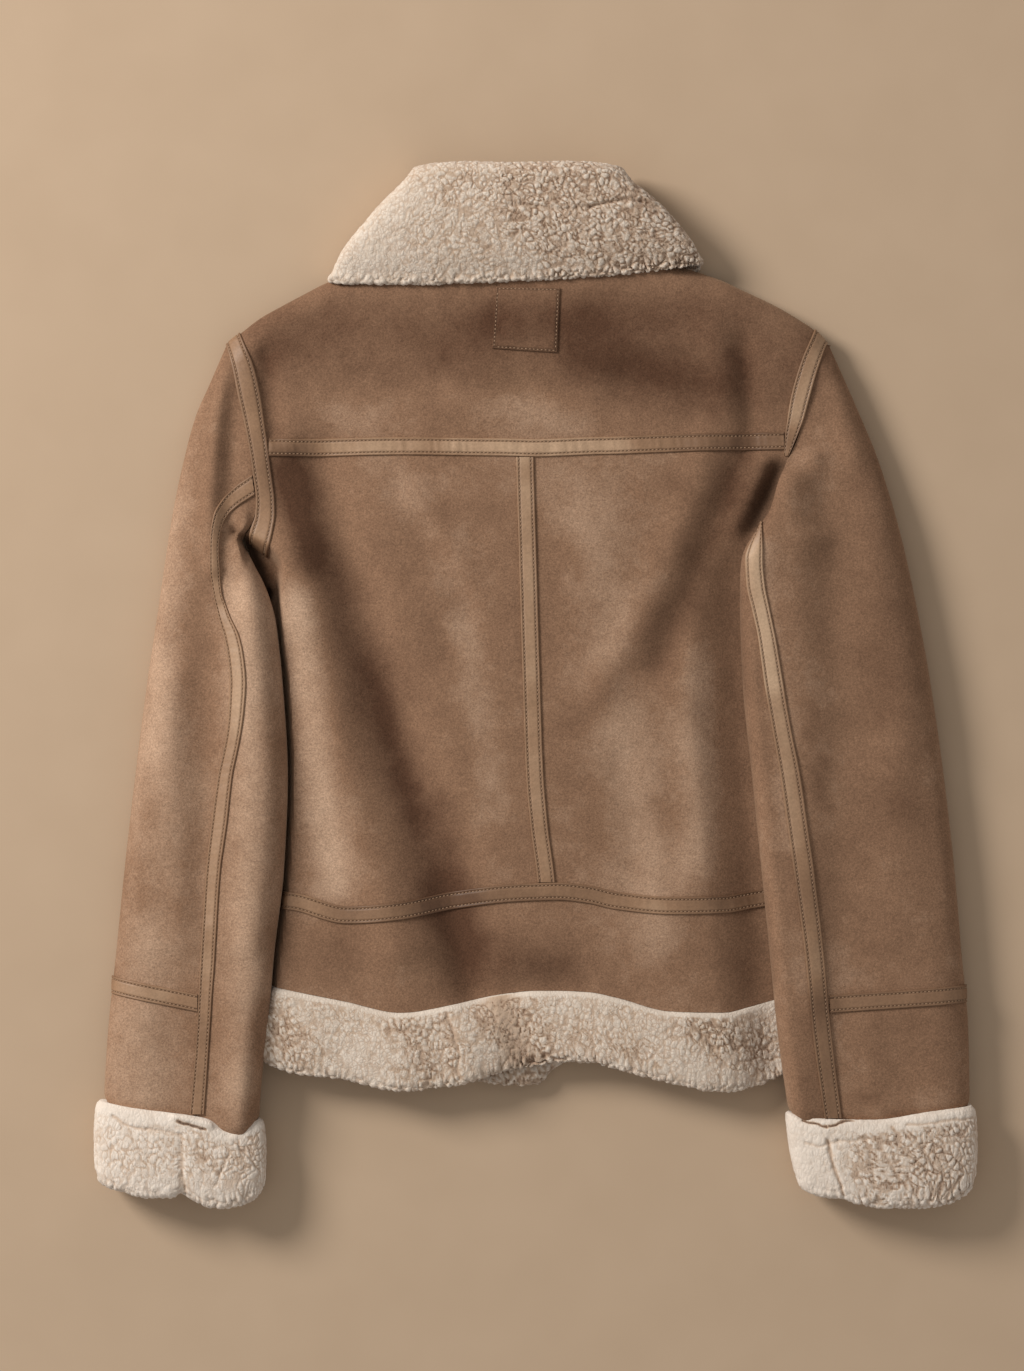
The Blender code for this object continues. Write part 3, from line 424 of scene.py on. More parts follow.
def body_rim(x, y):
    """Height of the side and shoulder seams, and how much of the crown a point has."""
    shoulder, outer, side = (np.minimum(edge("left", x, y), edge("right", x, y))
                             for edge in (from_shoulder, from_outer, from_side))
    near_outer = np.minimum(shoulder, outer)
    rim = SIDE_EDGE + (OUTER_EDGE - SIDE_EDGE) * side / (side + near_outer + 1e-9)
    rise = dome(shoulder, SHOULDER_ROUND) * dome(outer, SLEEVE_ROUND) * dome(side, SIDE_ROUND)
    return rim, rise


def front_floor(x, y):
    """The front lies on the floor, and on the collar's fall beside the neck."""
    oval = np.hypot((x - NECK_X) / NECK_HALF_WIDTH, (y - NECK_Y) / NECK_HALF_LENGTH)
    return NECK_RAISE * (1 - smooth(oval, *NECK_SLOPE))


def body_height(x, y, level):
    """Height of the body: level 1 is the back and level -1 the front."""
    rim, rise = body_rim(x, y)
    rim = rim + np.sign(level) * SEAM_GAP
    far = np.where(level > 0, body_crown(x, y), front_floor(x, y))
    return rim + (far - rim) * rise


def body_middle(x, y):
    return (body_height(x, y, 1) + body_height(x, y, -1)) / 2


def body_room(x, y):
    """Height between the outer faces of the back and the front."""
    return body_height(x, y, 1) - body_height(x, y, -1)


def sleeve_height(side, x, y, level):
    """Height of a sleeve: level 1 is its upper side, -1 its underside and 0 an edge."""
    table = INNER[side]
    outer, inner = from_outer(side, x, y), from_inner(side, x, y)
    shoulder = from_shoulder(side, x, y)
    base = SLEEVE.at("base", y)
    off_body = INWARD[side] * (SIDE.at(side, y) - x)
    spread = table.at("spread", y)
    below = INNER_START[side] - y
    lift = np.where(below > 0, table.at("lift", y), 0)
    under = np.maximum(base, lift * (1 - smooth(off_body / spread, 0.1, 1.0)))
    rim = OUTER_EDGE + base * BASE_SHOWN
    rim = rim + (table.at("edge", y) - rim) * outer / (outer + inner + 1e-9)
    tight = INNER_TIGHT[side]
    tight = tight + (1 - tight) * smooth(below, 0, INNER_OPEN)
    rise = dome(inner, INNER_ROUND[side] * tight) * dome(shoulder, SHOULDER_ROUND)
    bottom = rim - (rim - under) * rise * dome(outer, SLEEVE_ROUND * UNDER_ROUND)
    # near the armhole the sleeve goes on from the back, and away from it has its own height
    reach = AWAY[side] + (AWAY_FULL - AWAY[side]) * smooth(-below, *AWAY_GROWS)
    away = np.maximum(smooth(off_body / reach, 0, 1), smooth(below, 0, AWAY_SOON))
    soft = 1 - smooth(off_body / np.maximum(spread, LIFT_SPREAD), 0, 1)
    crown = SLEEVE.at("crown", y) + LIFT_SHOWN * lift * soft
    crown = body_crown(x, y) * (1 - away) + (crown + ripples(x, y)) * away
    crown = crown + fold_height(x, y, side)
    top = rim + (crown - rim) * rise * dome(outer, SLEEVE_ROUND)
    return np.where(level == 0, rim, np.where(level > 0, top, bottom))


# Grids and meshes

NUDGE = 0.02


def lattice(places, level, height):
    """Points and outward normals over a grid of places, rows running down the jacket."""
    level = np.broadcast_to(level, places.shape[:2])

    def raised(flat, on):
        z = height(*xy(flat), on)
        return np.concatenate([flat, z[..., None]], axis=2)

    tangents = []
    for axis in (0, 1):
        size = places.shape[axis]
        ends = []
        for step in (1, -1):
            near = np.clip(np.arange(size) + step, 0, size - 1)
            flat = places + NUDGE * (np.take(places, near, axis) - places)
            on = np.where(level == 0, np.take(level, near, axis), level)
            ends.append(raised(flat, on))
        tangents.append(ends[0] - ends[1])
    return raised(places, level), unit(np.cross(tangents[1], -tangents[0]))


def trimmed(grid):
    """A grid with its first and last rows and columns drawn in by the seam gap."""
    for axis in (0, 1):
        base = np.swapaxes(grid, 0, axis)
        out = base.copy()
        for index, inside in ((0, 1), (-1, -2)):
            run = base[inside] - base[index]
            length = np.linalg.norm(run, axis=1, keepdims=True)
            out[index] += run / length * np.minimum(SEAM_GAP, length * 0.5)
        grid = np.swapaxes(out, 0, axis)
    return grid


def grid_normals(grid, wrap_cols=False):
    """Normals of a grid whose rows run round a section, measured from its neighbours."""
    down = np.roll(grid, -1, 0) - np.roll(grid, 1, 0)
    if wrap_cols:
        across = np.roll(grid, -1, 1) - np.roll(grid, 1, 1)
    else:
        across = np.gradient(grid, axis=1)
    return unit(np.cross(across, -down))


def grid_quads(rows, cols, wrap_rows=False, wrap_cols=False):
    """The four corners of every cell of a grid, as indices of its points."""
    i = np.arange(rows if wrap_rows else rows - 1)[:, None]
    j = np.arange(cols if wrap_cols else cols - 1)[None, :]
    below, right = (i + 1) % rows, (j + 1) % cols
    quads = [i * cols + j, below * cols + j, below * cols + right, i * cols + right]
    return np.stack(np.broadcast_arrays(*quads), axis=-1).reshape(-1, 4)


def make_mesh(name, points, faces, looks, marks=None, face_look=None, crease=50):
    """A mesh object of the part: points in mm, faces as index arrays, marks for each point."""
    mesh = bpy.data.meshes.new(name)
    totals = np.array([len(face) for face in faces])
    loops = np.concatenate(faces)
    mesh.vertices.add(len(points))
    mesh.vertices.foreach_set("co", (np.asarray(points, float) * METRE).astype(np.float32).ravel())
    mesh.loops.add(len(loops))
    mesh.loops.foreach_set("vertex_index", loops.astype(np.int32))
    mesh.polygons.add(len(totals))
    mesh.polygons.foreach_set("loop_start", (np.cumsum(totals) - totals).astype(np.int32))
    mesh.polygons.foreach_set("loop_total", totals.astype(np.int32))
    mesh.update(calc_edges=True)
    mesh.validate()
    for look in looks:
        mesh.materials.append(look)
    if face_look is not None:
        mesh.polygons.foreach_set("material_index", face_look.astype(np.int32))
    for key, values in (marks or {}).items():
        layer = mesh.attributes.new(key, "FLOAT", "POINT")
        layer.data.foreach_set("value", np.asarray(values, np.float32).ravel())
    mesh.shade_smooth()
    mesh.set_sharp_from_angle(angle=math.radians(crease))
    obj = bpy.data.objects.new(name, mesh)
    bpy.context.scene.collection.objects.link(obj)
    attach(obj, "root")
    return obj


HEMMED = 6  # cells beside a wall's edge whose inner face still has its first look


def shell(name, outer, inner, looks, marks, keep=None):
    """A closed thin wall between two matching grids, in place of the solid of its name.

    Its inner faces take the second look. Only the cells to keep are built.
    """
    rows, cols = outer.shape[:2]
    count = rows * cols
    kept = np.ones((rows - 1) * (cols - 1), bool) if keep is None else keep.reshape(-1)
    quads = grid_quads(rows, cols)[kept]
    edges = np.concatenate([quads[:, [k, (k + 1) % 4]] for k in range(4)])
    forth = edges[:, 0] * count + edges[:, 1]
    back = edges[:, 1] * count + edges[:, 0]
    rim = edges[~np.isin(forth, back)]
    walls = np.stack([rim[:, 1], rim[:, 0], rim[:, 0] + count, rim[:, 1] + count], axis=1)
    faces = np.concatenate([quads, quads[:, ::-1] + count, walls])
    inside = np.zeros((rows - 1, cols - 1))
    inside[HEMMED:-HEMMED, HEMMED:-HEMMED] = len(looks) - 1
    inside = inside.reshape(-1)[kept]
    face_look = np.concatenate([np.zeros(len(quads)), inside, np.zeros(len(walls))])
    points = np.concatenate([outer.reshape(-1, 3), inner.reshape(-1, 3)])
    used, index = np.unique(faces, return_inverse=True)
    marks = {k: np.concatenate([v.ravel(), v.ravel()])[used] for k, v in marks.items()}
    obj = make_mesh(name, points[used], index.reshape(-1, 4), looks, marks, face_look)
    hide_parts(name)
    return obj


def loop_body(name, grid, looks, marks, wrap_cols=False):
    """A solid of pile in place of the one of its name.

    Its grid's rows run round its section, and open ends are closed with fans.
    """
    rows, cols = grid.shape[:2]
    faces = [*grid_quads(rows, cols, True, wrap_cols)]
    points = grid.reshape(-1, 3)
    centres = []
    if not wrap_cols:
        for col, order in ((0, -1), (cols - 1, 1)):
            ring = np.arange(rows) * cols + col
            centre = len(points) + len(centres)
            centres.append(points[ring].mean(axis=0))
            pairs = np.stack([ring, np.roll(ring, -1)], axis=1)[:, ::order]
            faces += [np.array([a, b, centre]) for a, b in pairs]
        points = np.concatenate([points, centres])
    marks = {k: np.concatenate([v.ravel(), np.ones(len(centres))]) for k, v in marks.items()}
    obj = make_mesh(name, points, faces, looks, marks, crease=80)
    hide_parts(name)
    return obj


def spaced(stops):
    """Numbers through the stops, a list of (value, count to the next stop)."""
    out = []
    for (a, count), (b, _) in zip(stops[:-1], stops[1:]):
        out += list(np.linspace(a, b, count, endpoint=False))
    return np.array(out + [stops[-1][0]])


# Skins of the body and the sleeves

BODY_COLS = 76
FRONT_COLS = 30


def edged(count, power=1.35):
    """Shares from 0 to 1 that start close together."""
    return np.linspace(0, 1, count) ** power


def across_shares(count):
    half = edged(count)
    return np.concatenate([half - 1, 1 - half[::-1][1:]])


def spread(kind, y, share):
    middle = CENTRE.at(kind, y)
    left, right = SIDE.at("left", y), SIDE.at("right", y)
    return middle + np.where(share < 0, share * (middle - left), share * (right - middle))


def seam_line(name, kind, x):
    return TOP.at(kind, x) if name == "top" else ACROSS.at(name, x)


def body_places(kind, top, bottom, rows, cols):
    """Places between two seams; share 0 is on the upper seam and 1 on the lower."""
    v = np.asarray(rows)[:, None]
    u = np.asarray(cols)[None, :]
    # a seam's y follows from x and x follows from y, so the places are found step by step
    y = np.full((len(rows), len(cols)), 240.0)
    for _ in range(10):
        x = spread(kind, y, u)
        y = seam_line(top, kind, x) * (1 - v) + seam_line(bottom, kind, x) * v
    return np.stack([spread(kind, y, u), y], axis=2)


def body_skin(kind, places):
    """The fronts run right to left, so that their outer side faces the floor."""
    return lattice(places[:, ::HALF[kind]], HALF[kind], body_height)


def keep_half(inner, half, clear):
    """Holds the inner wall of a piece clear of the body's middle, on its own half."""
    middle = body_middle(*xy(inner)) + half * clear
    inner[..., 2] = half * np.maximum(half * inner[..., 2], half * middle)


def lay(obj, grid, layers=1):
    """Works out the flat cut of a piece, the spans of its rows and columns and its area, and keeps
    none of them.
    """
    rows = np.linalg.norm(np.diff(grid, axis=1), axis=2).sum(axis=1)
    cols = np.linalg.norm(np.diff(grid, axis=0), axis=2).sum(axis=0)
    a, b = grid[1:, 1:] - grid[:-1, :-1], grid[1:, :-1] - grid[:-1, 1:]
    area = np.linalg.norm(np.cross(a, b), axis=2).sum() / 2 / layers
    width, length = rows.max() * METRE, cols.max() * METRE / layers
    area = min(area * METRE ** 2, width * length)


PANEL_CLEAR = 0.3


def cloth(name, grid, normal, looks, half=0, keep=None):
    """A thin wall under a skin. half is 1 for the body's back, -1 for its front, 0 for a sleeve.

    The body's is pressed thin where the jacket has no room.
    """
    outer = trimmed(grid)
    thick = SUEDE
    if half:
        room = body_room(*xy(grid))[..., None]
        thick = np.clip(room * PRESSED_SHARE, PRESSED, SUEDE)
    inner = outer - normal * thick
    if half:
        keep_half(inner, half, PANEL_CLEAR)
    # painted shade in the hollows beside the sleeves, on the back only
    painted_shade = strokes(*xy(grid), HOLLOW_SHADE if half > 0 else [])
    # the nap mark carries the nap's tone and the painted light and shade of its strokes
    marks = {"nap_and_painted_light": nap_and_painted_light(grid, half >= 0), "painted_shade": np.clip(painted_shade, 0, 1)}
    lay(shell(name, outer, inner, looks, marks, keep), outer)


# Painted shade where the back runs down into the dark beside a sleeve: a dark colour mixed into the
# suede.
HOLLOW_SHADE = [
    # x0, y0, x1, y1, x2, y2, share, width
    (-213, 102, -205, 88, -199, 66, 0.9, 5.5), (-198, 66, -191, 20, -188, -60, 0.6, 3.5),
    (181, 158, 174, 138, 164, 116, 0.6, 7),
]

# Strokes of the nap brushed darker or lighter, mixed with painted light and shade: painted shade on
# folds and slopes that face away from the lamp and beside the sleeves, painted light on slopes that
# face it. Each is a bent path, its shade and its width.
NAP_AND_PAINTED_LIGHT = [
    # x0, y0, x1, y1, x2, y2, shade, width
    (-190, 256, -20, 250, 196, 240, -0.30, 38),
    (36, 236, 84, 228, 132, 214, -0.22, 19),
    (-30, 270, 60, 266, 150, 276, -0.22, 17),
    (150, 236, 156, 214, 170, 186, -0.12, 13),
    (-198, 236, -195, 214, -192, 188, -0.16, 9),
    (-60, 212, -20, 206, 34, 190, 0.16, 13),
    (-150, 200, -130, 194, -100, 206, 0.10, 12),
    (-184, 160, -132, 40, -52, -215, -0.38, 20),
    (-180, 150, -176, 120, -168, 90, -0.26, 16),
    (157, 172, 126, 98, 94, 14, -0.26, 13),
    (173, 158, 163, 134, 150, 110, -0.2, 9),
    (120, 150, 142, 140, 168, 132, -0.12, 18),
    (146, 60, 146, -60, 158, -220, -0.16, 12),
    (-174, 60, -164, -60, -150, -150, 0.34, 15),
    (-104, 100, -84, 60, -70, 20, -0.12, 18),
    (30, 140, 62, 70, 56, 0, 0.14, 24),
    (118, 20, 122, -50, 120, -130, 0.20, 14),
    (60, -40, 84, -100, 84, -200, 0.18, 22),
    (-74, -165, -44, -205, 20, -210, -0.24, 18),
    (-190, -186, -150, -196, -110, -205, -0.10, 18),
    (-284, 130, -282, -60, -288, -300, 0.20, 26),
    (-216, 60, -204, -80, -214, -300, 0.26, 16),
    (-70, -90, -56, -130, -50, -160, -0.22, 14),
    (-66, 126, -50, 120, -38, 124, -0.14, 12),
    (-200, -240, -204, -280, -206, -320, -0.20, 8),
    (166, 98, 172, 20, 190, -120, 0.20, 8),
    (240, 150, 246, 60, 270, -90, -0.12, 30),
    (200, -250, 198, -280, 200, -318, -0.14, 12),
    (212, -58, 205, -76, 216, -94, -0.20, 4),
    (203, -18, 207, -28, 200, -40, -0.16, 4),
    (-240, 170, -246, 110, -248, 30, -0.10, 14),
    (240, -306, 245, -309, 250, -306, -0.2, 4),
    (-58, 40, -42, -14, -34, -70, 0.20, 14),
    (-112, -20, -101, -58, -90, -100, -0.14, 11),
    (104, 150, 120, 134, 112, 96, -0.14, 12),
    (96, 60, 70, 10, 30, -30, -0.12, 11),
    (-276, 20, -275, -14, -278, -50, 0.14, 12),
    (-284, -100, -286, -125, -288, -160, -0.14, 12),
]


# Broad unevenness of the nap: share, size and seed of each part.
NAP_NOISE = ((0.09, 52, 11), (0.06, 24, 13), (0.05, 11, 17))


def nap_and_painted_light(grid, above, share=1.0):
    """Tone of the nap from 0, dark, to 1, light; on upper faces it also carries the strokes' painted
    light and shade.
    """
    shade = sum(part * noise(grid * STEEP, size, seed) for part, size, seed in NAP_NOISE)
    if above:
        shade = shade + strokes(*xy(grid), NAP_AND_PAINTED_LIGHT)
    return 0.5 + shade * share


# The sleeves' rows lean: the drop of a row for each mm inwards, by the row's y at the edge.
LEAN = {
    "left": Table("y lean", [(250, 0), (0, 0), (-70, -0.03), (-140, -0.08), (-218, -0.2),
                             (-231, -0.2), (-311, -0.11)]),
    "right": Table("y lean", [(250, 0), (-70, 0), (-140, -0.03), (-224, -0.07), (-238, -0.07),
                              (-316, -0.08)]),
}
WRIST = {"left": -224.5, "right": -231.0}
SLEEVE_TOP = 250.0
SLEEVE_END = {"left": -311.0, "right": -316.0}
SLEEVE_STEP = 2.8
LOW_STEP = 2.9
WRIST_ROWS = 32
TURNED_IN = 2.6
UNDER_BACK = 8.0  # from a sleeve's inner edge to the end of its underside, at least
SPREAD_BACK = 2.0
NEAR_SEAM = 6.0  # what a tape's place takes beside the armhole, where the seam hasn't begun
TAPE_CLEAR = 0.8
# Columns of a sleeve from its outer edge to the tape, and of each of its other spans.
TOP_COLS = 26
SPAN_COLS = 16

# The end of each sleeve's suede, by x.
SLEEVE_HEM = {
    "left": Table("x y", [(-325, -310), (-300, -316), (-278, -319), (-256, -321), (-243, -326),
                          (-237, -332), (-228, -336), (-215, -335), (-208, -330), (-200, -322)]),
    "right": Table("x y", [(184, -318), (190, -321), (199, -324), (238, -325), (248, -325),
                           (262, -323), (273, -321), (292, -319), (314, -317), (326, -315)]),
}


def sleeve_stations(side, y):
    """Reach from the outer edge of every column round a sleeve, for each y, and its level.

    The columns run from the front seam over the outer edge, the back seam and the inner
    edge, and under the sleeve to the front seam again.
    """
    inward = INWARD[side]
    table = INNER[side]
    outer, armhole = OUTER.at(side, y), SIDE.at(side, y)
    above = y > CROTCH[side]
    joined = y > INNER_START[side]
    inner = np.where(joined, armhole, table.at("inner", y))
    inner = inner - inward * ARMHOLE_GAP * smooth(y, CROTCH[side] - 10, CROTCH[side])
    reach = (inner - outer) * inward
    side_reach = (armhole - outer) * inward
    seamed = y <= SEAM_START[side]
    tape_out, tape_in = ((SEAM[side].at(k, y) - outer) * inward for k in ("tape_out", "tape_in"))
    tape_out = np.where(seamed, tape_out, reach - np.minimum(NEAR_SEAM, reach * 0.2))
    tape_in = np.where(seamed, np.minimum(tape_in, reach - TAPE_CLEAR), reach)
    seam = np.where(seamed, (tape_out + tape_in) / 2, reach)
    under_end = np.minimum(side_reach - table.at("spread", y) - SPREAD_BACK, reach - UNDER_BACK)
    under_end = np.where(joined, reach + UNDER_BACK, under_end)
    floor = np.where(above, side_reach - ARMHOLE_GAP, under_end)
    columns = []
    levels = []
    marks = {}

    def run(a, b, shares, level):
        for share in shares:
            columns.append(a + (b - a) * share)
            levels.append(np.broadcast_to(level, y.shape))

    run(0 * floor, floor, (1 - edged(SPAN_COLS, 1.5))[:-1], -1)
    run(0 * floor, floor, [0.0], 0)
    run(0 * floor, tape_out, edged(TOP_COLS, 1.5)[1:], 1)
    run(tape_out, seam, [0.5, 1.0], 1)
    marks["seam"] = len(columns) - 1
    run(seam, tape_in, [0.5, 1.0], 1)
    run(tape_in, reach, (1 - edged(SPAN_COLS, 1.6)[::-1])[1:-1], 1)
    run(reach, reach, [0.0], np.where(joined, 1, 0))
    marks["inner"] = len(columns) - 1
    run(reach, under_end, edged(SPAN_COLS, 1.4)[1:], np.where(joined, 1, -1))
    return np.array(columns), np.array(levels), marks


def sleeve_rows(side):
    start, crotch = SEAM_START[side], CROTCH[side]
    stops = [(SLEEVE_TOP, int((SLEEVE_TOP - start) / SLEEVE_STEP))]
    if start > crotch:
        stops.append((start, int((start - crotch) / SLEEVE_STEP)))
    stops += [(crotch, int((crotch - WRIST[side]) / LOW_STEP)), (WRIST[side], WRIST_ROWS)]
    stops.append((SLEEVE_END[side], 1))
    return spaced(stops)


def nearest(values, target):
    return int(np.argmin(np.abs(values - target)))


def sleeve_skin(side):
    """A sleeve's points and normals, its marked columns, and its rows' y at the outer edge."""
    fine = np.arange(-345.0, 252.0, 1.0)
    table, _, marks = sleeve_stations(side, fine)
    edge_y = sleeve_rows(side)
    levels = sleeve_stations(side, edge_y)[1].T
    lean = LEAN[side].at("lean", edge_y)[:, None]

    def reach(y):
        """Reach of every column, each at its own y."""
        return np.stack([np.interp(y[:, k], fine, row) for k, row in enumerate(table)], axis=1)

    def across(y):
        return OUTER.at(side, y) + INWARD[side] * reach(y)

    y = np.repeat(edge_y[:, None], len(table), axis=1)
    for _ in range(5):
        y = edge_y[:, None] + lean * np.abs(reach(y))
    # the rows past the wrist run to the end of the suede, which isn't straight
    wrist = nearest(edge_y, WRIST[side])
    top = y[wrist].copy()
    share = ((edge_y[wrist:] - edge_y[wrist]) / (edge_y[-1] - edge_y[wrist]))[:, None]
    for _ in range(5):
        y[wrist:] = top * (1 - share) + SLEEVE_HEM[side].at("y", across(y[wrist:])) * share
    places = np.stack([across(y), y], axis=2)[:, ::INWARD[side]]
    skin = lattice(places, levels[:, ::INWARD[side]], partial(sleeve_height, side))
    return skin, marks, edge_y


def make_sleeve(side, looks):
    (grid, normal), marks, ys = sleeve_skin(side)
    last = grid.shape[1] - 1
    wrist, start, crotch = (nearest(ys, at[side]) for at in (WRIST, SEAM_START, CROTCH))

    def span(first, end):
        first, end = (first, end) if side == "left" else (last - end, last - first)
        return slice(first, end + 1)

    # the end of the suede turns in over the cuff
    roll = np.clip(np.arange(len(ys)) - (len(ys) - 4), 0, 3) / 3.0
    grid = grid - normal * (roll ** 2 * TURNED_IN)[:, None, None]
    name = "sleeve_" + side
    top, under = span(0, marks["seam"]), span(marks["seam"], last)
    cloth(name + "_top", grid[:wrist + 1, top], normal[:wrist + 1, top], looks)
    cloth(name + "_lower", grid[wrist:, top], normal[wrist:, top], looks)
    # above the crotch the underside ends at the armhole
    keep = np.ones((len(ys) - start - 1, last - marks["seam"]), bool)
    keep[:crotch - start, marks["inner"] - marks["seam"]:] = False
    cloth(name + "_under", grid[start:, under], normal[start:, under], looks,
          keep=keep[:, ::INWARD[side]])


# The body's panels: their skin, the seams above and below, the rows and the names across.
PANELS = [
    ("back", "top", "yoke", edged(48, 1.25), ["back_yoke"]),
    ("back", "yoke", "waist", np.linspace(0, 1, 110), ["back_left", "back_right"]),
    ("back", "waist", "band", np.linspace(0, 1, 26), ["waistband_back"]),
    ("front", "top", "waist", np.linspace(0, 1, 64), ["front_right", "front_left"]),
    ("front", "waist", "band", np.linspace(0, 1, 12),
     ["waistband_front_right", "waistband_front_left"]),
]


def halves(middle):
    """A skin's columns up to its middle one, and from it."""
    return slice(0, middle + 1), slice(middle, None)


def make_body(looks):
    for kind, top, bottom, rows, names in PANELS:
        count = BODY_COLS if kind == "back" else FRONT_COLS
        grid, normal = body_skin(kind, body_places(kind, top, bottom, rows, across_shares(count)))
        spans = halves(count - 1) if len(names) == 2 else [slice(None)]
        for name, at in zip(names, spans):
            cloth(name, grid[:, at], normal[:, at], looks, HALF[kind])


# Tapes and stitches

TAPE = 1.2
TAPE_LIFT = 0.35
STITCH_IN = 4.4
TAPE_DENT = 0.6
TAPE_PLACES = np.array([0, 1.4, 2.6, 3.4, 3.9, 4.15, 4.4, 4.65, 4.9, 5.4, 5.9, 6.2, 6.4, 6.5])
TAPE_STEP = 1.25
STITCH_PITCH = 2.9
STITCH_LENGTH = 1.85
STITCH_RADIUS = 0.38
SEWN_HALF = 0.5
TWO_PATHS = 1.414  # length of two paths as one in four dimensions, in lengths of one path
RIB = 2.6  # size of a tape's puckers
RIB_LEAN = 0.8
RIB_ACROSS = 1.6
TAPE_NAP_AND_PAINTED_LIGHT = 0.7  # of the nap's strokes, with their painted light and shade, on a tape
TAPE_NOISE = (0.05, 15, 71)  # share, size and seed
# painted shade along the tapes' edges
TAPE_EDGE_SHADE = 0.16


def tape_profile(across):
    """Thickness of a tape by its place across, from -1 to 1: soft edges and sewn-down lines."""
    edge = dome(1 - np.abs(across), 0.12)
    return TAPE * (0.45 + 0.55 * edge) - TAPE_DENT * sewn_line(across)


def sewn_line(across):
    """1 along the two lines of stitches of a tape, fading to 0 beside them."""
    return bell((np.abs(across) * TAPE_HALF - STITCH_IN) / SEWN_HALF)


def running_total(steps):
    """The running total of steps, from 0."""
    return np.concatenate([[0], np.cumsum(steps)])


def run_of(path):
    """How far along a path each of its points is."""
    return running_total(np.linalg.norm(np.diff(path, axis=0), axis=1))


def between(at, run, values):
    """Rows of values at some places along a run."""
    return np.stack([np.interp(at, run, column) for column in values.T], axis=1)


def walk(path, step):
    """A path of points resampled at even steps of about this length."""
    run = run_of(path)
    count = max(2, int(round(run[-1] / step)) + 1)
    return between(np.linspace(0, run[-1], count), run, path)


def strip_places(left, right, step):
    """Places over a strip between two matching paths."""
    both = walk(np.concatenate([left, right], axis=1), step * TWO_PATHS)
    half = TAPE_PLACES / TAPE_PLACES[-1]
    share = np.concatenate([-half[:0:-1], half])
    a, b = both[:, None, :2], both[:, None, 2:]
    return a + (b - a) * (share[None, :, None] + 1) / 2, share


# Painted highlights where the tapes shine, and painted shade where they are darker.
TAPE_HIGHLIGHTS_AND_SHADE = [
    # x0, y0, x1, y1, x2, y2, shade, width
    (216, 250, 204, 226, 193, 200, 0.30, 14), (-60, 174, 0, 172, 60, 174, 0.22, 12),
    (-150, 173, -120, 174, -90, 174, 0.12, 12), (-7, 140, -5, 80, -3, 10, 0.16, 10),
    (-3, 0, 2, -80, 8, -150, 0.06, 10), (160, 90, 164, 50, 172, 0, 0.30, 12),
    (-150, -166, 0, -155, 190, -156, -0.16, 12), (110, 176, 150, 177, 186, 178, -0.16, 14),
    (-240, -240, -248, -280, -252, -320, -0.06, 12), (210, -240, 216, -280, 222, -320, -0.16, 12),
    (-330, -230, -290, -232, -240, -245, -0.04, 14), (-208, 93, -205, 91, -202, 88, -0.4, 7),
    (210, -236, 270, -234, 320, -232, -0.12, 14),
]


def make_tape(name, left, right, height, looks, pucker):
    """A tape between two paths that lie on a skin, with left on its left going down."""
    places, share = strip_places(left, right, TAPE_STEP)
    grid, normal = lattice(places, 1, height)
    thick = tape_profile(share)[None, :, None]
    run = np.arange(len(places))[:, None] * TAPE_STEP + share[None, :] * RIB_LEAN
    flat = np.broadcast_arrays(run, share[None, :] * RIB_ACROSS, 0 * run)
    ribs = noise(np.stack(flat, axis=-1), RIB, 31)
    held = (1 - np.abs(share) ** 6)[None, :] * (1 - 0.7 * sewn_line(share))[None, :]
    thick = thick + (pucker * ribs * held)[..., None]
    outer = grid + normal * (TAPE_LIFT + thick)
    inner = grid + normal * (TAPE_LIFT - 0.15)
    part, size, seed = TAPE_NOISE
    # the nap's tone and, at a share, its strokes' painted light and shade
    shade = nap_and_painted_light(outer, True, TAPE_NAP_AND_PAINTED_LIGHT) + part * noise(outer * STEEP, size, seed)
    # painted shade along the tape's edges
    edge_shade = TAPE_EDGE_SHADE * np.abs(share) ** 5
    # painted highlights and painted shade from the tape's strokes
    shade = shade + strokes(*xy(outer), TAPE_HIGHLIGHTS_AND_SHADE) - edge_shade[None, :]
    # the sewn mark paints shade into the stitch grooves
    marks = {"nap_and_painted_light": shade, "sewn": np.broadcast_to(sewn_line(share)[None, :], run.shape)}
    obj = shell(name, outer, inner, looks, marks)
    return obj, (grid, normal, share), outer


def stitch_line(path, normals):
    """Starts, ends and normals of the stitches along a path."""
    both = walk(np.concatenate([path, normals], axis=1), 0.25)
    path, normals = both[:, :3], both[:, 3:]
    run = run_of(path)
    at = np.arange(STITCH_PITCH / 2, run[-1] - STITCH_PITCH / 2, STITCH_PITCH)
    start, end = (between(at + off, run, path) for off in (-STITCH_LENGTH / 2, STITCH_LENGTH / 2))
    return start, end, between(at, run, normals)


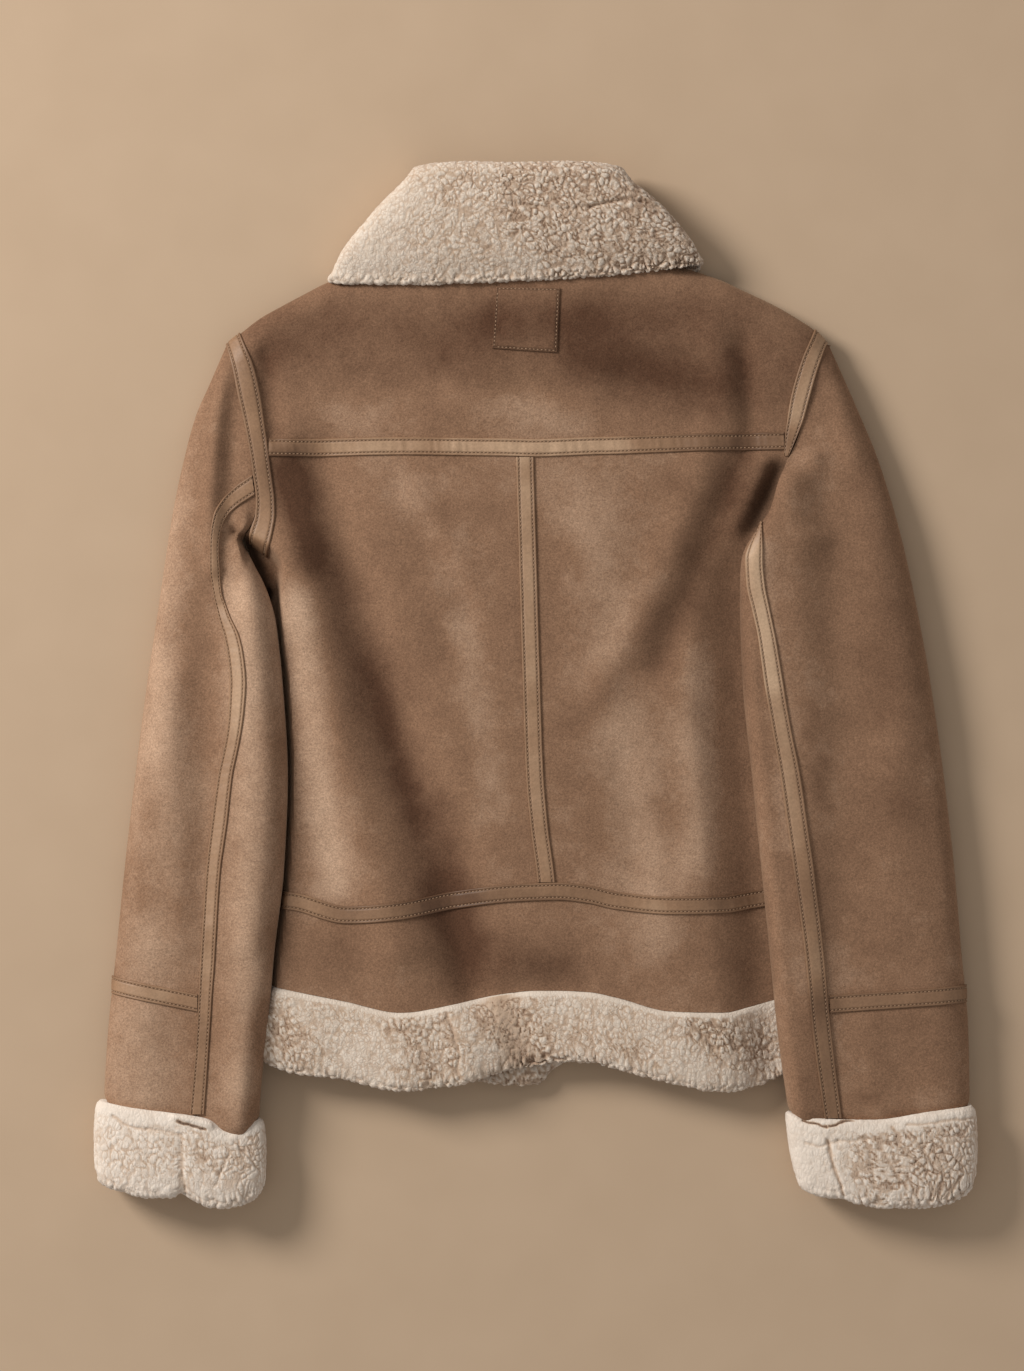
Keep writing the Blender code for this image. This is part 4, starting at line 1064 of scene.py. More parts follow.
def make_stitches(name, runs, look):
    """Every stitch of some runs as one mesh: short threads that dip at both ends."""
    start, end, normal = [np.concatenate([run[k] for run in runs]) for k in range(3)]
    normal = unit(normal)
    across = np.cross(unit(end - start), normal)
    share = np.array([0.0, 0.22, 0.78, 1.0])
    radius = STITCH_RADIUS * np.array([0.55, 1.0, 1.0, 0.55])
    sink = np.array([-0.28, 0.0, 0.0, -0.28])
    turn = np.linspace(0, 2 * math.pi, 6, endpoint=False)
    centre = start[:, None] + (end - start)[:, None] * share[:, None] \
        + normal[:, None] * sink[:, None]
    ring = np.cos(turn)[:, None] * across[:, None, None] \
        + np.sin(turn)[:, None] * normal[:, None, None]
    points = centre[:, :, None] + ring * radius[:, None, None]
    count, rings, steps = points.shape[:3]
    one = grid_quads(rings, steps, wrap_cols=True)
    faces = (one[None] + (np.arange(count) * rings * steps)[:, None, None]).reshape(-1, 4)
    caps = []
    for ring_at, order in ((0, 1), (rings - 1, -1)):
        k = np.arange(steps)[::order] + ring_at * steps
        caps.append(np.array([[k[0], k[1], k[2], k[3]], [k[0], k[3], k[4], k[5]]]))
    caps = np.concatenate(caps)
    caps = (caps[None] + (np.arange(count) * rings * steps)[:, None, None]).reshape(-1, 4)
    faces = np.concatenate([faces[:, ::-1], caps[:, ::-1]])
    return make_mesh(name, points.reshape(-1, 3), faces, [look], crease=80)


def tape_stitches(skin):
    """Two runs of stitches along a tape, near its edges."""
    grid, normal, share = skin
    runs = []
    for side in (-1, 1):
        at = side * STITCH_IN / TAPE_HALF
        k = int(np.clip(np.searchsorted(share, at), 1, len(share) - 1))
        t = (at - share[k - 1]) / (share[k] - share[k - 1])
        path = grid[:, k - 1] * (1 - t) + grid[:, k] * t
        out = normal[:, k - 1] * (1 - t) + normal[:, k] * t
        lift = TAPE_LIFT + TAPE - TAPE_DENT + STITCH_RADIUS * 0.75
        runs.append(stitch_line(path + out * lift, out))
    return runs


# Edges of the armhole tapes. The right one narrows where the sleeve folds over it.
ARMHOLE_TAPE = {
    "left": Table("y out in", [
        (264, -233, -222), (258, -232, -218.7), (250, -229.3, -215.2), (234, -224.6, -208.7),
        (212, -220.2, -203.7), (190, -215.2, -200.6), (171, -211.6, -197.6),
        (153, -209, -195.2), (134, -206.8, -192.9), (123, -207.4, -192.6), (112, -210.8, -194),
        (102, -212.5, -196.2), (91, -214, -199.2),
    ]),
    "right": Table("y out in", [
        (266, 224.2, 208.5), (261, 223.2, 206.8), (250, 215.8, 202), (241, 212, 198),
        (223, 206.2, 192), (208, 202.2, 188.3), (193, 198, 186), (179, 192.6, 184.2),
        (166, 187, 183.6),
    ]),
}
# The y of the lower end of each armhole tape, at its outer and inner edge.
ARMHOLE_END = {"left": (103.5, 92.5), "right": (167.0, 167.0)}
# Upper ends of the sleeves' tapes. The left one leaves the armhole nearly level.
TAPE_BEND = {"right": [(167.3, 117.5, 166.7, 117.5), (167.1, 113, 164.6, 113)], "left": [
    # out_x, out_y, in_x, in_y
    (-209.7, 152.6, -207.7, 138), (-222, 144, -218.5, 130.5), (-232, 134, -228.5, 121.5),
    (-238, 122, -233, 111), (-240, 104, -234.3, 97), (-240, 82, -233, 79),
]}


# How far each tape puckers.
PUCKER = {"yoke": 0.34, "waist": 0.16, "centre": 0.14, "other": 0.12}
TAPE_OVER = 0.4  # how far the centre tape goes past the middle of the tapes that it meets
# Where the cross tapes end: a y beside each armhole, and how far short of it they stop.
YOKE_END = {"left": 173, "right": 176}
YOKE_SHORT = 0.5
WAIST_END = -160
WAIST_SHORT = 9


def seam_tapes(looks, thread):
    """The tapes over the back's seams."""
    stitches = []
    tapes = []

    def tape(name, left, right, pucker):
        obj, skin, outer = make_tape(name, left, right, body_height, looks, PUCKER[pucker])
        stitches.extend(tape_stitches(skin))
        tapes.append((obj, outer))

    ends = {
        "yoke": [ARMHOLE_TAPE[k].at("in", YOKE_END[k]) + INWARD[k] * YOKE_SHORT for k in INWARD],
        "waist": [SIDE.at(k, WAIST_END) + INWARD[k] * WAIST_SHORT for k in INWARD],
    }
    for seam in ("yoke", "waist"):
        x = np.linspace(*ends[seam], 200)
        y = ACROSS.at(seam, x)
        slope = np.gradient(y, x)
        off = TAPE_HALF / np.sqrt(1 + slope ** 2)
        upper = np.stack([x - slope * off, y + off], axis=1)
        lower = np.stack([x + slope * off, y - off], axis=1)
        tape("tape_" + seam, lower, upper, seam)
    past = TAPE_HALF + TAPE_OVER
    y = np.linspace(ACROSS.at("yoke", -8.0) - past, ACROSS.at("waist", 7.0) + past, 200)
    x = CENTRE.at("back", y)
    tape("tape_centre_back", np.stack([x - TAPE_HALF, y], axis=1),
         np.stack([x + TAPE_HALF, y], axis=1), "centre")
    for side in ("left", "right"):
        t = np.linspace(0, 1, 220)
        edges = ARMHOLE_TAPE[side]
        paths = []
        for column, end in zip(("out", "in"), ARMHOLE_END[side]):
            start = SLEEVE_TOP
            for _ in range(12):
                start = float(TOP.at("back", edges.at(column, start))) - 0.5
            y = start + (end - start) * t
            paths.append(np.stack([edges.at(column, y), y], axis=1))
        tape("tape_armhole_" + side, *paths[::INWARD[side]], "other")
    sewn = make_stitches("stitches_back", stitches, thread)
    for k, (obj, outer) in enumerate(tapes):
        lay(obj, outer)


# The y from which each sleeve's tape follows its seam, and the y of its lower end.
TAPE_STRAIGHT = {"left": 66.0, "right": 109.0}
TAPE_LOW = {"left": -319.0, "right": -322.0}


def sleeve_tapes(side, looks, thread):
    """The tapes over a sleeve's back seam and above its cuff."""
    sign = INWARD[side]
    height = partial(sleeve_height, side)
    rows = TAPE_BEND[side] + [
        (SEAM[side].at("tape_out", y), y, SEAM[side].at("tape_in", y), y)
        for y in np.linspace(TAPE_STRAIGHT[side], TAPE_LOW[side], 24)]
    run = Table("t out_x out_y in_x in_y", [(k, *row) for k, row in enumerate(rows)])
    t = np.linspace(0, len(rows) - 1, 400)
    paths = [np.stack([run.at(k + "_x", t), run.at(k + "_y", t)], axis=1) for k in ("out", "in")]
    long_tape, skin, long_grid = make_tape("tape_sleeve_" + side, *paths[::sign], height, looks,
                                           PUCKER["other"])
    stitches = tape_stitches(skin)
    # the wrist tape goes round the sleeve's upper side, and stops at the long tape
    wrist_y = WRIST[side]
    start = OUTER.at(side, wrist_y) + sign * 0.8
    end = float(SEAM[side].at("tape_out", wrist_y - 12)) - sign * 0.6
    x = np.linspace(start, end, 120)
    drop = LEAN[side].at("lean", wrist_y) * np.abs(x - start)
    paths = [np.stack([x, wrist_y + off + drop], axis=1) for off in (-TAPE_HALF, TAPE_HALF)]
    wrist, skin, wrist_grid = make_tape("tape_wrist_" + side, *paths[::sign], height, looks,
                                        PUCKER["other"])
    stitches += tape_stitches(skin)
    sewn = make_stitches("stitches_sleeve_" + side, stitches, thread)
    lay(long_tape, long_grid)
    lay(wrist, wrist_grid)


PATCH_CORNERS = ((-29, 291.5), (18, 290.5), (-32, 246), (16, 243))
PATCH = 1.6
PATCH_HALF = 24.0
PATCH_LIFT = 0.3
PATCH_STITCH = 1.3  # from the patch's edge
PATCH_DENT = 0.45
STITCH_SINK = 0.55


def on_patch(u, v):
    """A place on the patch from its share across and its share down."""
    a, b, c, d = np.array(PATCH_CORNERS, float)
    return (a * (1 - u) + b * u) * (1 - v) + (c * (1 - u) + d * u) * v


def make_patch(looks, thread):
    share = (np.sin(np.linspace(-1, 1, 41) * math.pi / 2) + 1) / 2
    grid, normal = lattice(on_patch(share[None, :, None], share[:, None, None]), 1, body_height)
    side = np.abs(share * 2 - 1)
    inside = np.minimum(1 - side[None, :], 1 - side[:, None]) * PATCH_HALF
    off_line = inside - PATCH_STITCH
    puff = PATCH * (0.55 + 0.45 * dome(inside, 2.0)) + 0.6 * smooth(inside, 4, 18)
    puff = puff - PATCH_DENT * bell(off_line / 0.9)
    outer = grid + normal * (PATCH_LIFT + puff)[..., None]
    inner = grid + normal * (PATCH_LIFT - 0.05)
    # painted shade along the patch's stitch groove, with the nap's tone and its painted light and
    # shade
    marks = {"nap_and_painted_light": nap_and_painted_light(outer, True) + 0.02, "painted_shade": 0.55 * bell(off_line / 0.8)}
    patch = shell("neck_patch", outer, inner, looks, marks)
    runs = []
    near = PATCH_STITCH / PATCH_HALF / 2
    corners = [(near, near), (1 - near, near), (1 - near, 1 - near), (near, 1 - near)]
    for (u0, v0), (u1, v1) in zip(corners, corners[1:] + corners[:1]):
        t = np.linspace(0, 1, 60)[:, None]
        flat = on_patch(u0 + (u1 - u0) * t, v0 + (v1 - v0) * t)
        z = body_height(*xy(flat), 1) + PATCH_LIFT + PATCH - STITCH_SINK
        up = np.tile([0.0, 0.0, 1.0], (len(flat), 1))
        runs.append(stitch_line(np.concatenate([flat, z[:, None]], axis=1), up))
    sewn = make_stitches("stitches_patch", runs, thread)
    lay(patch, outer)


# Pile

NUB = 3.8  # across a curl
NUB_GAP = 1.15
NUB_DEEP = 0.85
FURROW = 9.5  # from one long furrow to the next
FURROW_GAP = (0.2, 1.9)
WARP = 11.0  # sizes of the noises that bend both, and how far they move each
FINE_WARP = 3.2
NUB_WARP = (2.0, 0.5)
FURROW_WARP = (3.4, 1.0)
ROUND = 0.6  # shares of the pile's reach: a curl's round top, its own height, a broad noise
OWN = 0.12
BROAD = (0.2, 19.0)
LINE_WOBBLE = 1.7
ON_FLOOR = 0.05
TUFT = 2.2
TUFT_REACH = 6.0
COMB = 0.5
COMB_REACH = 9.0

# Each pile: the seed of its curls, and how these and its furrows are squeezed in x, y and z.
PILES = {
    "hem": (40, (1.0, 0.8, 1.0), (1.1, 0.5, 1.0)),
    "front": (60, (1.0, 0.8, 1.0), (1.1, 0.5, 1.0)),
    "collar": (80, (0.9, 1.0, 1.0), (0.8, 0.9, 1.0)),
    "cuff_left": (120, (1.0, 0.75, 1.0), (1.2, 0.42, 1.0)),
    "cuff_right": (160, (1.0, 0.75, 1.0), (1.2, 0.42, 1.0)),
}

# Where the crevices are deep and carry more painted shade: a bent path, the share that they gain and
# its reach.
PARTED = {
    # x0, y0, x1, y1, x2, y2, share, reach
    "hem": [
        (-206, -246, -192, -258, -180, -270, 0.7, 16),
        (-98, -250, -86, -266, -78, -286, 0.7, 14),
        (-70, -250, -62, -266, -58, -286, 0.4, 9),
        (-30, -238, -16, -258, -4, -272, 1.0, 18),
        (6, -246, 40, -262, 70, -270, 0.2, 22),
        (124, -252, 142, -266, 166, -274, 0.7, 15),
    ],
    "front": [
        (-70, -292, -40, -300, 16, -296, 0.4, 12),
    ],
    "collar": [
        (4, 362, 44, 356, 88, 344, 1.0, 26),
        (20, 330, 66, 326, 104, 318, 0.7, 22),
        (-84, 334, -40, 338, -10, 334, 0.15, 20),
        (-64, 362, -30, 366, 0, 362, 0.3, 14),
    ],
    "cuff_right": [
        (236, -344, 262, -352, 296, -344, 0.95, 28),
    ],
    "cuff_left": [
        (-306, -346, -288, -352, -268, -350, 0.5, 20),
        (-248, -344, -232, -356, -216, -352, 0.5, 18),
    ],
}


def parted(points, part):
    """How deep the crevices are and how much painted shade they carry, from a little to all."""
    share = (0.34 if part == "hem" else 0.42) + 0.2 * noise(points, 17.0, 91)
    return np.clip(share + strokes(*xy(points), PARTED[part]), 0.12, 1)


def pile(grid, normal, part, depth, calm, combed):
    """A grid pushed out into curly pile, and the marks of the painted shade in its crevices and of
    its fine lines.
    """
    seed, flow, furrow_flow = PILES[part]
    warp = np.stack([noise(grid, WARP, seed + k) for k in (1, 2, 3)], axis=-1)
    fine = np.stack([noise(grid, FINE_WARP, seed + k) for k in (4, 5, 6)], axis=-1)
    # the curls, and the crevices between those that stand apart
    p = (grid + warp * NUB_WARP[0] + fine * NUB_WARP[1]) * np.array(flow)
    p[..., 1] -= combed
    first, second, own, other = cells(p, NUB, seed + 7)
    apart = 0.35 + 0.65 * smooth(np.abs(own - other), 0.05, 0.4)
    nub = (1 - smooth((second - first) * NUB, 0, NUB_GAP)) * apart
    # the longer furrows
    p = (grid + warp * FURROW_WARP[0] + fine * FURROW_WARP[1]) * np.array(furrow_flow)
    near, far, mine, its = cells(p, FURROW, seed + 17)
    furrow = 1 - smooth((far - near) * FURROW, *FURROW_GAP)
    furrow = furrow * smooth(np.abs(mine - its), 0.15, 0.45)
    share = parted(grid, part)
    # crevice sets both the crevices' depth and their painted shade
    crevice = np.maximum(nub * share * 1.15, furrow * (0.1 + 0.6 * share)) * (1 - calm)
    out = (1 - np.minimum(first, 1) ** 2) * ROUND + own * OWN
    out = out + BROAD[0] * noise(grid, BROAD[1], seed + 13)
    points = grid + normal * ((out - crevice) * depth * NUB_DEEP)[..., None]
    above = normal[..., 2] > 0.1
    shade = np.zeros(crevice.shape)
    # painted shade along the single furrows and folds
    for *ends, deep, width, dark in PILE_LINES.get(part, []):
        x, y = (points[..., k] + LINE_WOBBLE * (warp[..., k] + 0.5 * fine[..., k]) for k in (0, 1))
        line = strokes(x, y, [(*ends, 1, width)]) * above
        points = points - normal * (line * deep)[..., None]
        shade = np.maximum(shade, line * dark)
    points[..., 2] = np.maximum(points[..., 2], ON_FLOOR)
    crevice = np.maximum(np.clip(crevice, 0, 1), shade)
    return points, {"crevice": crevice, "lined": np.broadcast_to(1 - 0.8 * calm, shade.shape)}


def pile_piece(name, loop, points, marks, looks, at=slice(None), wrap_cols=False):
    """A piece of pile from some columns of a loop. It lies doubled on the floor."""
    marks = {key: values[:, at] for key, values in marks.items()}
    obj = loop_body(name, points[:, at], looks, marks, wrap_cols)
    lay(obj, loop[:, at], 2)


def half_round(a, b, way):
    """Rows that run round from one edge to another, swelling along a way."""
    centre, radius = (a + b) / 2, (a - b) / 2
    swell = way * np.linalg.norm(radius, axis=1, keepdims=True)
    turn = np.linspace(0, math.pi, LIP_ROWS + 2)[1:-1]
    return np.array([centre + radius * math.cos(t) + swell * math.sin(t) for t in turn])


# Single furrows and folds of the pile: a bent path, its depth, width and the darkness of its painted
# shade.
PILE_LINES = {
    # x0, y0, x1, y1, x2, y2, deep, width, dark
    "cuff_left": [
        (-260.5, -334, -261, -352, -258.5, -377, 2.0, 1.5, 0.45),
        (-313, -321, -298, -329, -286, -330, 1.0, 1.2, 0.4),
        (-286, -330, -272, -330, -261, -334, 0.9, 1.2, 0.35),
        (-264, -323.5, -254, -326, -243, -330.5, 1.5, 0.8, 1.8),
        (-266, -320, -254, -321.5, -240, -328, -1.8, 2.4, 0.0),
        (-217, -342, -211, -354, -203, -362, 0.9, 0.9, 0.5),
        (-226, -348, -230, -360, -236, -372, 0.9, 0.9, 0.4),
    ],
    "cuff_right": [
        (215, -338, 219, -356, 227, -378, 2.0, 1.5, 0.5),
        (198, -339, 212, -343, 222, -338, 0.9, 1.3, 0.3),
        (222, -338, 232, -338, 243, -338, 0.9, 1.3, 0.3),
        (273, -327, 298, -324, 324, -321, 0.9, 1.2, 0.4),
        (197, -322, 204, -326, 214, -329, 1.5, 0.8, 1.5),
        (216, -328, 226, -325, 238, -323, 1.5, 0.8, 1.8),
        (206, -321, 222, -320, 240, -321, -1.8, 2.4, 0.0),
        (242, -336, 247, -352, 249, -374, 1.1, 1.0, 0.6),
        (252, -338, 262, -358, 274, -372, 1.1, 1.0, 0.7),
        (262, -328, 272, -350, 290, -360, 1.1, 1.0, 0.7),
        (284, -334, 284, -346, 296, -360, 0.9, 1.0, 0.5),
    ],
    "collar": [
        (40, 349, 62, 356, 77, 353, 2.2, 1.6, 0.6),
        (77, 353, 84, 352, 90, 349, 2.0, 1.6, 0.6),
        (-20, 352, 10, 346, 40, 349, 1.2, 1.8, 0.3),
    ],
    "hem": [
        (-66, -246, -57, -264, -58, -290, 1.2, 1.1, 0.6),
        (-26, -236, -20, -258, -14, -276, 0.4, 13.0, 0.5),
        (118, -254, 126, -268, 142, -284, 0.9, 1.0, 0.5),
        (130, -252, 144, -264, 164, -272, 0.9, 1.0, 0.5),
    ],
}


# The hem's band from its seam down to its edge: how far it swells, and its depth's share.
HEM = Table("share proud depth", [
    (0.0, 0.3, 0.6), (0.06, 2.4, 0.9), (0.2, 3.2, 1.0), (0.5, 3.4, 1.0), (0.8, 2.8, 0.95),
    (0.93, 1.9, 0.7), (1.0, 0.2, 0.42),
])
PART_OF = {"back": "hem", "front": "front"}
HEM_WIDE = 410.0
HEM_TALL = 52.0
HEM_STEP = {"back": 0.95, "front": 1.3}
HEM_CLEAR = 0.5
HEM_PILE = 9.0
FRONT_PILE = 7.0
THIN_PILE = 2.6
LIP_ROWS = 10
# The front bends up where it shows beside the centre.
LOBE = -14.0
LOBE_WIDE = 26.0
LOBE_RISE = 13.0


def make_hem(kind):
    """The pile band below the waistband, as a loop that runs down the outside, round and up.

    With it go its points in pile, their marks and the middle column.
    """
    step = HEM_STEP[kind]
    middle = int(HEM_WIDE / 2 / step)
    cols = np.linspace(-1, 1, 2 * middle + 1)
    rows = int(HEM_TALL / step)
    share = np.linspace(0, 1, rows)
    seam = "hem" if kind == "back" else "front_hem"
    grid, normal = body_skin(kind, body_places(kind, "band", seam, share, cols))
    x, y = grid[..., 0], grid[..., 1]
    room = body_room(x, y)[..., None]
    depth_shape = HEM.at("depth", share)[:, None, None]
    if kind == "back":
        proud = HEM.at("proud", share)[:, None, None] * smooth(room, 10, 22)
        depth = np.clip(room * 0.4, THIN_PILE, HEM_PILE) * depth_shape + proud * 0.3
    else:
        proud = room * 0
        depth = np.clip(room * 0.33, THIN_PILE, FRONT_PILE) * depth_shape
    outer = grid + normal * proud
    inner = outer - normal * np.maximum(depth, THIN_PILE)
    keep_half(inner, HALF[kind], HEM_CLEAR)
    if kind == "front":
        shown = bell((x - LOBE) / LOBE_WIDE) * smooth(share, 0.35, 1.0)[:, None]
        outer[..., 2] += LOBE_RISE * shown
        inner[..., 2] += LOBE_RISE * shown
    lip = half_round(outer[-1], inner[-1], np.array([0.0, -1.0, 0.0]))
    if kind == "back":
        loop = np.concatenate([outer, lip, inner[::-1][::4]])
    else:
        loop = np.concatenate([outer[::3], outer[-1:], lip, inner[::-1]])
    amount = np.full(len(loop), 0.25)
    calm = np.zeros(len(loop))
    combed = np.zeros(len(loop))
    if kind == "back":
        run = np.arange(rows) * step
        tuft = 1 + TUFT * smooth(run, run[-1] - TUFT_REACH, run[-1])
        amount[:rows] = (0.3 + 0.7 * smooth(run, 2.0, 7.0)) * tuft
        amount[rows:rows + LIP_ROWS] = 1 + TUFT
        calm[:rows] = 1 - smooth(run, 2.0, 4.5)
        combed[:rows] = COMB * np.minimum(run[-1] - run, COMB_REACH)
    else:
        amount[-rows - LIP_ROWS:] = 0.9
        amount[-rows - LIP_ROWS:-rows + 6] = 1 + TUFT * 0.6
        amount[-3:] = 0.3
    points, marks = pile(loop, grid_normals(loop), PART_OF[kind], amount[:, None], calm[:, None],
                         combed[:, None])
    return loop, points, marks, middle


def hem_pieces(looks):
    loop, points, marks, _ = make_hem("back")
    pile_piece("hem_trim_back", loop, points, marks, looks)
    loop, points, marks, middle = make_hem("front")
    for side, at in zip(("right", "left"), halves(middle)):
        pile_piece("hem_trim_front_" + side, loop, points, marks, looks, at)


# The collar's rings, from its lower edge (0) to its far upper edge (4) and back inside (7).
# in_x, in_y and in_z lead from each ring to the one on the collar's other face.
COLLAR = Table("level left right side back front top floor in_x in_y in_z tilt", [
    (0, -152, 123, 305, 298.5, 222, 32, 0, 7, 0, 5.5, 6.5),
    (1, -144, 115, 321, 318, 240, 40, 0, 7, 0, 7, 5),
    (2, -118.5, 92.5, 350, 352, 285, 46, 0, 7.5, 0, 7.5, 2),
    (3, -97, 71, 370, 376, 320, 46.5, 0, 8, 3, 7.5, 0),
    (4, -88, 62, 380, 386.5, 331, 38, 8.5, 8, 8.4, 0, 0),
    (5, -79, 53, 372, 378, 323, 29.5, 17, -7.6, 1, -8, 0),
    (6, -79, 53, 350, 350, 300, 28.5, 17, -8, 0, -8, 0),
    (7, -88, 73, 328, 311.5, 262, 24, 15, -8, 0, -8, 0),
])
COLLAR_STEP = 0.95
COLLAR_LOOP = 430.0
COLLAR_MIDDLE = 16.0
COLLAR_SEEN = 4.2  # the level down to which the collar is seen, under its upper edge
COLLAR_HIDDEN_STEP = 2.4
COLLAR_LIP = 0.8
COLLAR_DIP = 4.2
COLLAR_DIP_AT = -14.0
COLLAR_DIP_WIDE = 45.0
COLLAR_TURN = 0.05


def collar_ring(turn, left, right, side, back, front, top, floor, tilt):
    """An open flattened ring, from the front round by the left and the back to the front."""
    s, c = np.sin(turn), np.cos(turn)
    across = np.sign(s) * np.abs(s) ** 0.9
    x = (left + right) / 2 + (right - left) / 2 * across
    share = 1 - np.abs(across) ** 2.4
    y = side + (np.where(c > 0, back, front) - side) * share + tilt * across
    rise = np.abs(c) ** 0.25
    z = COLLAR_MIDDLE + (np.where(c > 0, top, floor) - COLLAR_MIDDLE) * rise
    return np.stack([x, y, z], axis=-1)


RING = ("left", "right", "side", "back", "front", "top", "floor", "tilt")


def ring_turns(count):
    """Turns round the collar, spaced evenly along its back and coarser along its front."""
    turn = np.linspace(-1 + COLLAR_TURN, 1 - COLLAR_TURN, 4001) * math.pi
    path = collar_ring(turn, *[float(COLLAR.at(k, 1.0)) for k in RING])
    weight = np.where(np.cos((turn[1:] + turn[:-1]) / 2) > -0.25, 1.0, 0.3)
    run = running_total(np.diff(run_of(path)) * weight)
    return np.interp(np.linspace(0, run[-1], count), run, turn)


# The way from a ring on the collar's outside to the matching one on its inside.
RING_IN = (("left", "in_x", 1), ("right", "in_x", -1), ("side", "in_y", -1), ("back", "in_y", -1),
           ("front", "in_y", -1), ("top", "in_z", -1), ("floor", "in_z", 1))


def make_collar(looks):
    turn = ring_turns(int(COLLAR_LOOP / COLLAR_STEP))

    def rings(levels, inner):
        out = []
        for level in levels:
            row = {k: float(COLLAR.at(k, level)) for k in COLLAR.columns[1:]}
            for k, move, sign in RING_IN if inner else ():
                row[k] += sign * row[move]
            out.append(collar_ring(turn, *[row[k] for k in RING]))
        return np.array(out)

    # evenly spaced along the back's middle line, and coarser where the collar isn't seen
    fine = np.linspace(0, 7, 1401)
    run = run_of(np.stack([COLLAR.at("back", fine), COLLAR.at("top", fine)], axis=1))
    seen = np.interp(COLLAR_SEEN, fine, run)
    at = np.concatenate([np.arange(0, seen, COLLAR_STEP),
                         np.arange(seen, run[-1], COLLAR_HIDDEN_STEP), [run[-1]]])
    outer = rings(np.interp(at, run, fine), False)
    inner = rings(np.linspace(7, 0, 26), True)
    down = outer[0] - outer[3]
    down[:, 2] = 0
    lip = half_round(inner[-1], outer[0], unit(down, 1e-9) * COLLAR_LIP)
    loop = np.concatenate([outer, inner, lip])[::-1]
    run = np.arange(len(outer))[::-1] * COLLAR_STEP
    hidden = len(lip) + len(inner)
    amount = np.repeat([1 + TUFT, 0.15, 1 + TUFT], [len(lip), len(inner), len(outer)])
    amount[hidden:] -= TUFT * smooth(run, 0, TUFT_REACH)
    combed = np.zeros(len(loop))
    combed[hidden:] = COMB * np.minimum(run, COMB_REACH)
    calm = 0.3 * smooth(-loop[..., 0], 20, 120)
    points, marks = pile(loop, grid_normals(loop), "collar", amount[:, None], calm,
                         combed[:, None])
    dip = COLLAR_DIP * bell((points[..., 0] - COLLAR_DIP_AT) / COLLAR_DIP_WIDE)
    points[..., 1] -= dip * smooth(points[..., 1], 345, 385)
    pile_piece("collar", loop, points, marks, looks)


# Each cuff from its top down: its outer and inner edge, and half its height.
CUFF = Table("v left_out left_in right_out right_in half", [
    (0.0, -322.5, -204, 322.5, 187, 16.0), (0.06, -324.5, -202, 324.5, 185.5, 18.3),
    (0.16, -325.5, -201, 325.5, 185.5, 19.8), (0.5, -326.4, -199.8, 326.5, 187, 20.5),
    (0.8, -326.2, -199.8, 326.4, 189, 20), (0.94, -325.4, -200.5, 325.2, 191, 18.8),
    (1.0, -323.6, -202, 322.5, 194, 17.5),
])
CUFF_STEP = 0.85
CUFF_LENGTH = 64.0
CUFF_WIDE = 128.0
CUFF_THICK = 34.0
CUFF_MIDDLE = 20.5
CUFF_FLAT = 0.86  # of its half height, where its underside lies flat
CUFF_PILE = 9.0
CUFF_TURN = 13
CUFF_INSIDE = 16
CUFF_TOP = {"left": Table("x y", [(-326, -309), (-300, -314), (-243, -322), (-228, -330),
                                  (-200, -322)]),
            "right": Table("x y", [(184, -317), (199, -322), (248, -323), (292, -317),
                                   (326, -313)])}
CUFF_LOW = {
    "left": Table("x y", [(-326, -366), (-320, -371), (-304, -376), (-285, -380), (-270, -380),
                          (-261, -377), (-252, -382), (-241, -387), (-230, -388), (-219, -386),
                          (-208, -381), (-202, -374), (-199, -368)]),
    "right": Table("x y", [(187, -360), (192, -367), (198, -374), (211, -379), (229, -381),
                           (240, -385), (262, -387.5), (285, -387.5), (303, -385), (314, -381),
                           (322, -376), (327, -366)]),
}
CUFF_CALM = {
    "left": Table("x calm", [(-326, 0.5), (-290, 0.4), (-262, 0.55), (-240, 0.3), (-199, 0.2)]),
    "right": Table("x calm", [(184, 0.8), (228, 0.7), (242, 0.15), (300, 0.0), (327, 0.3)]),
}


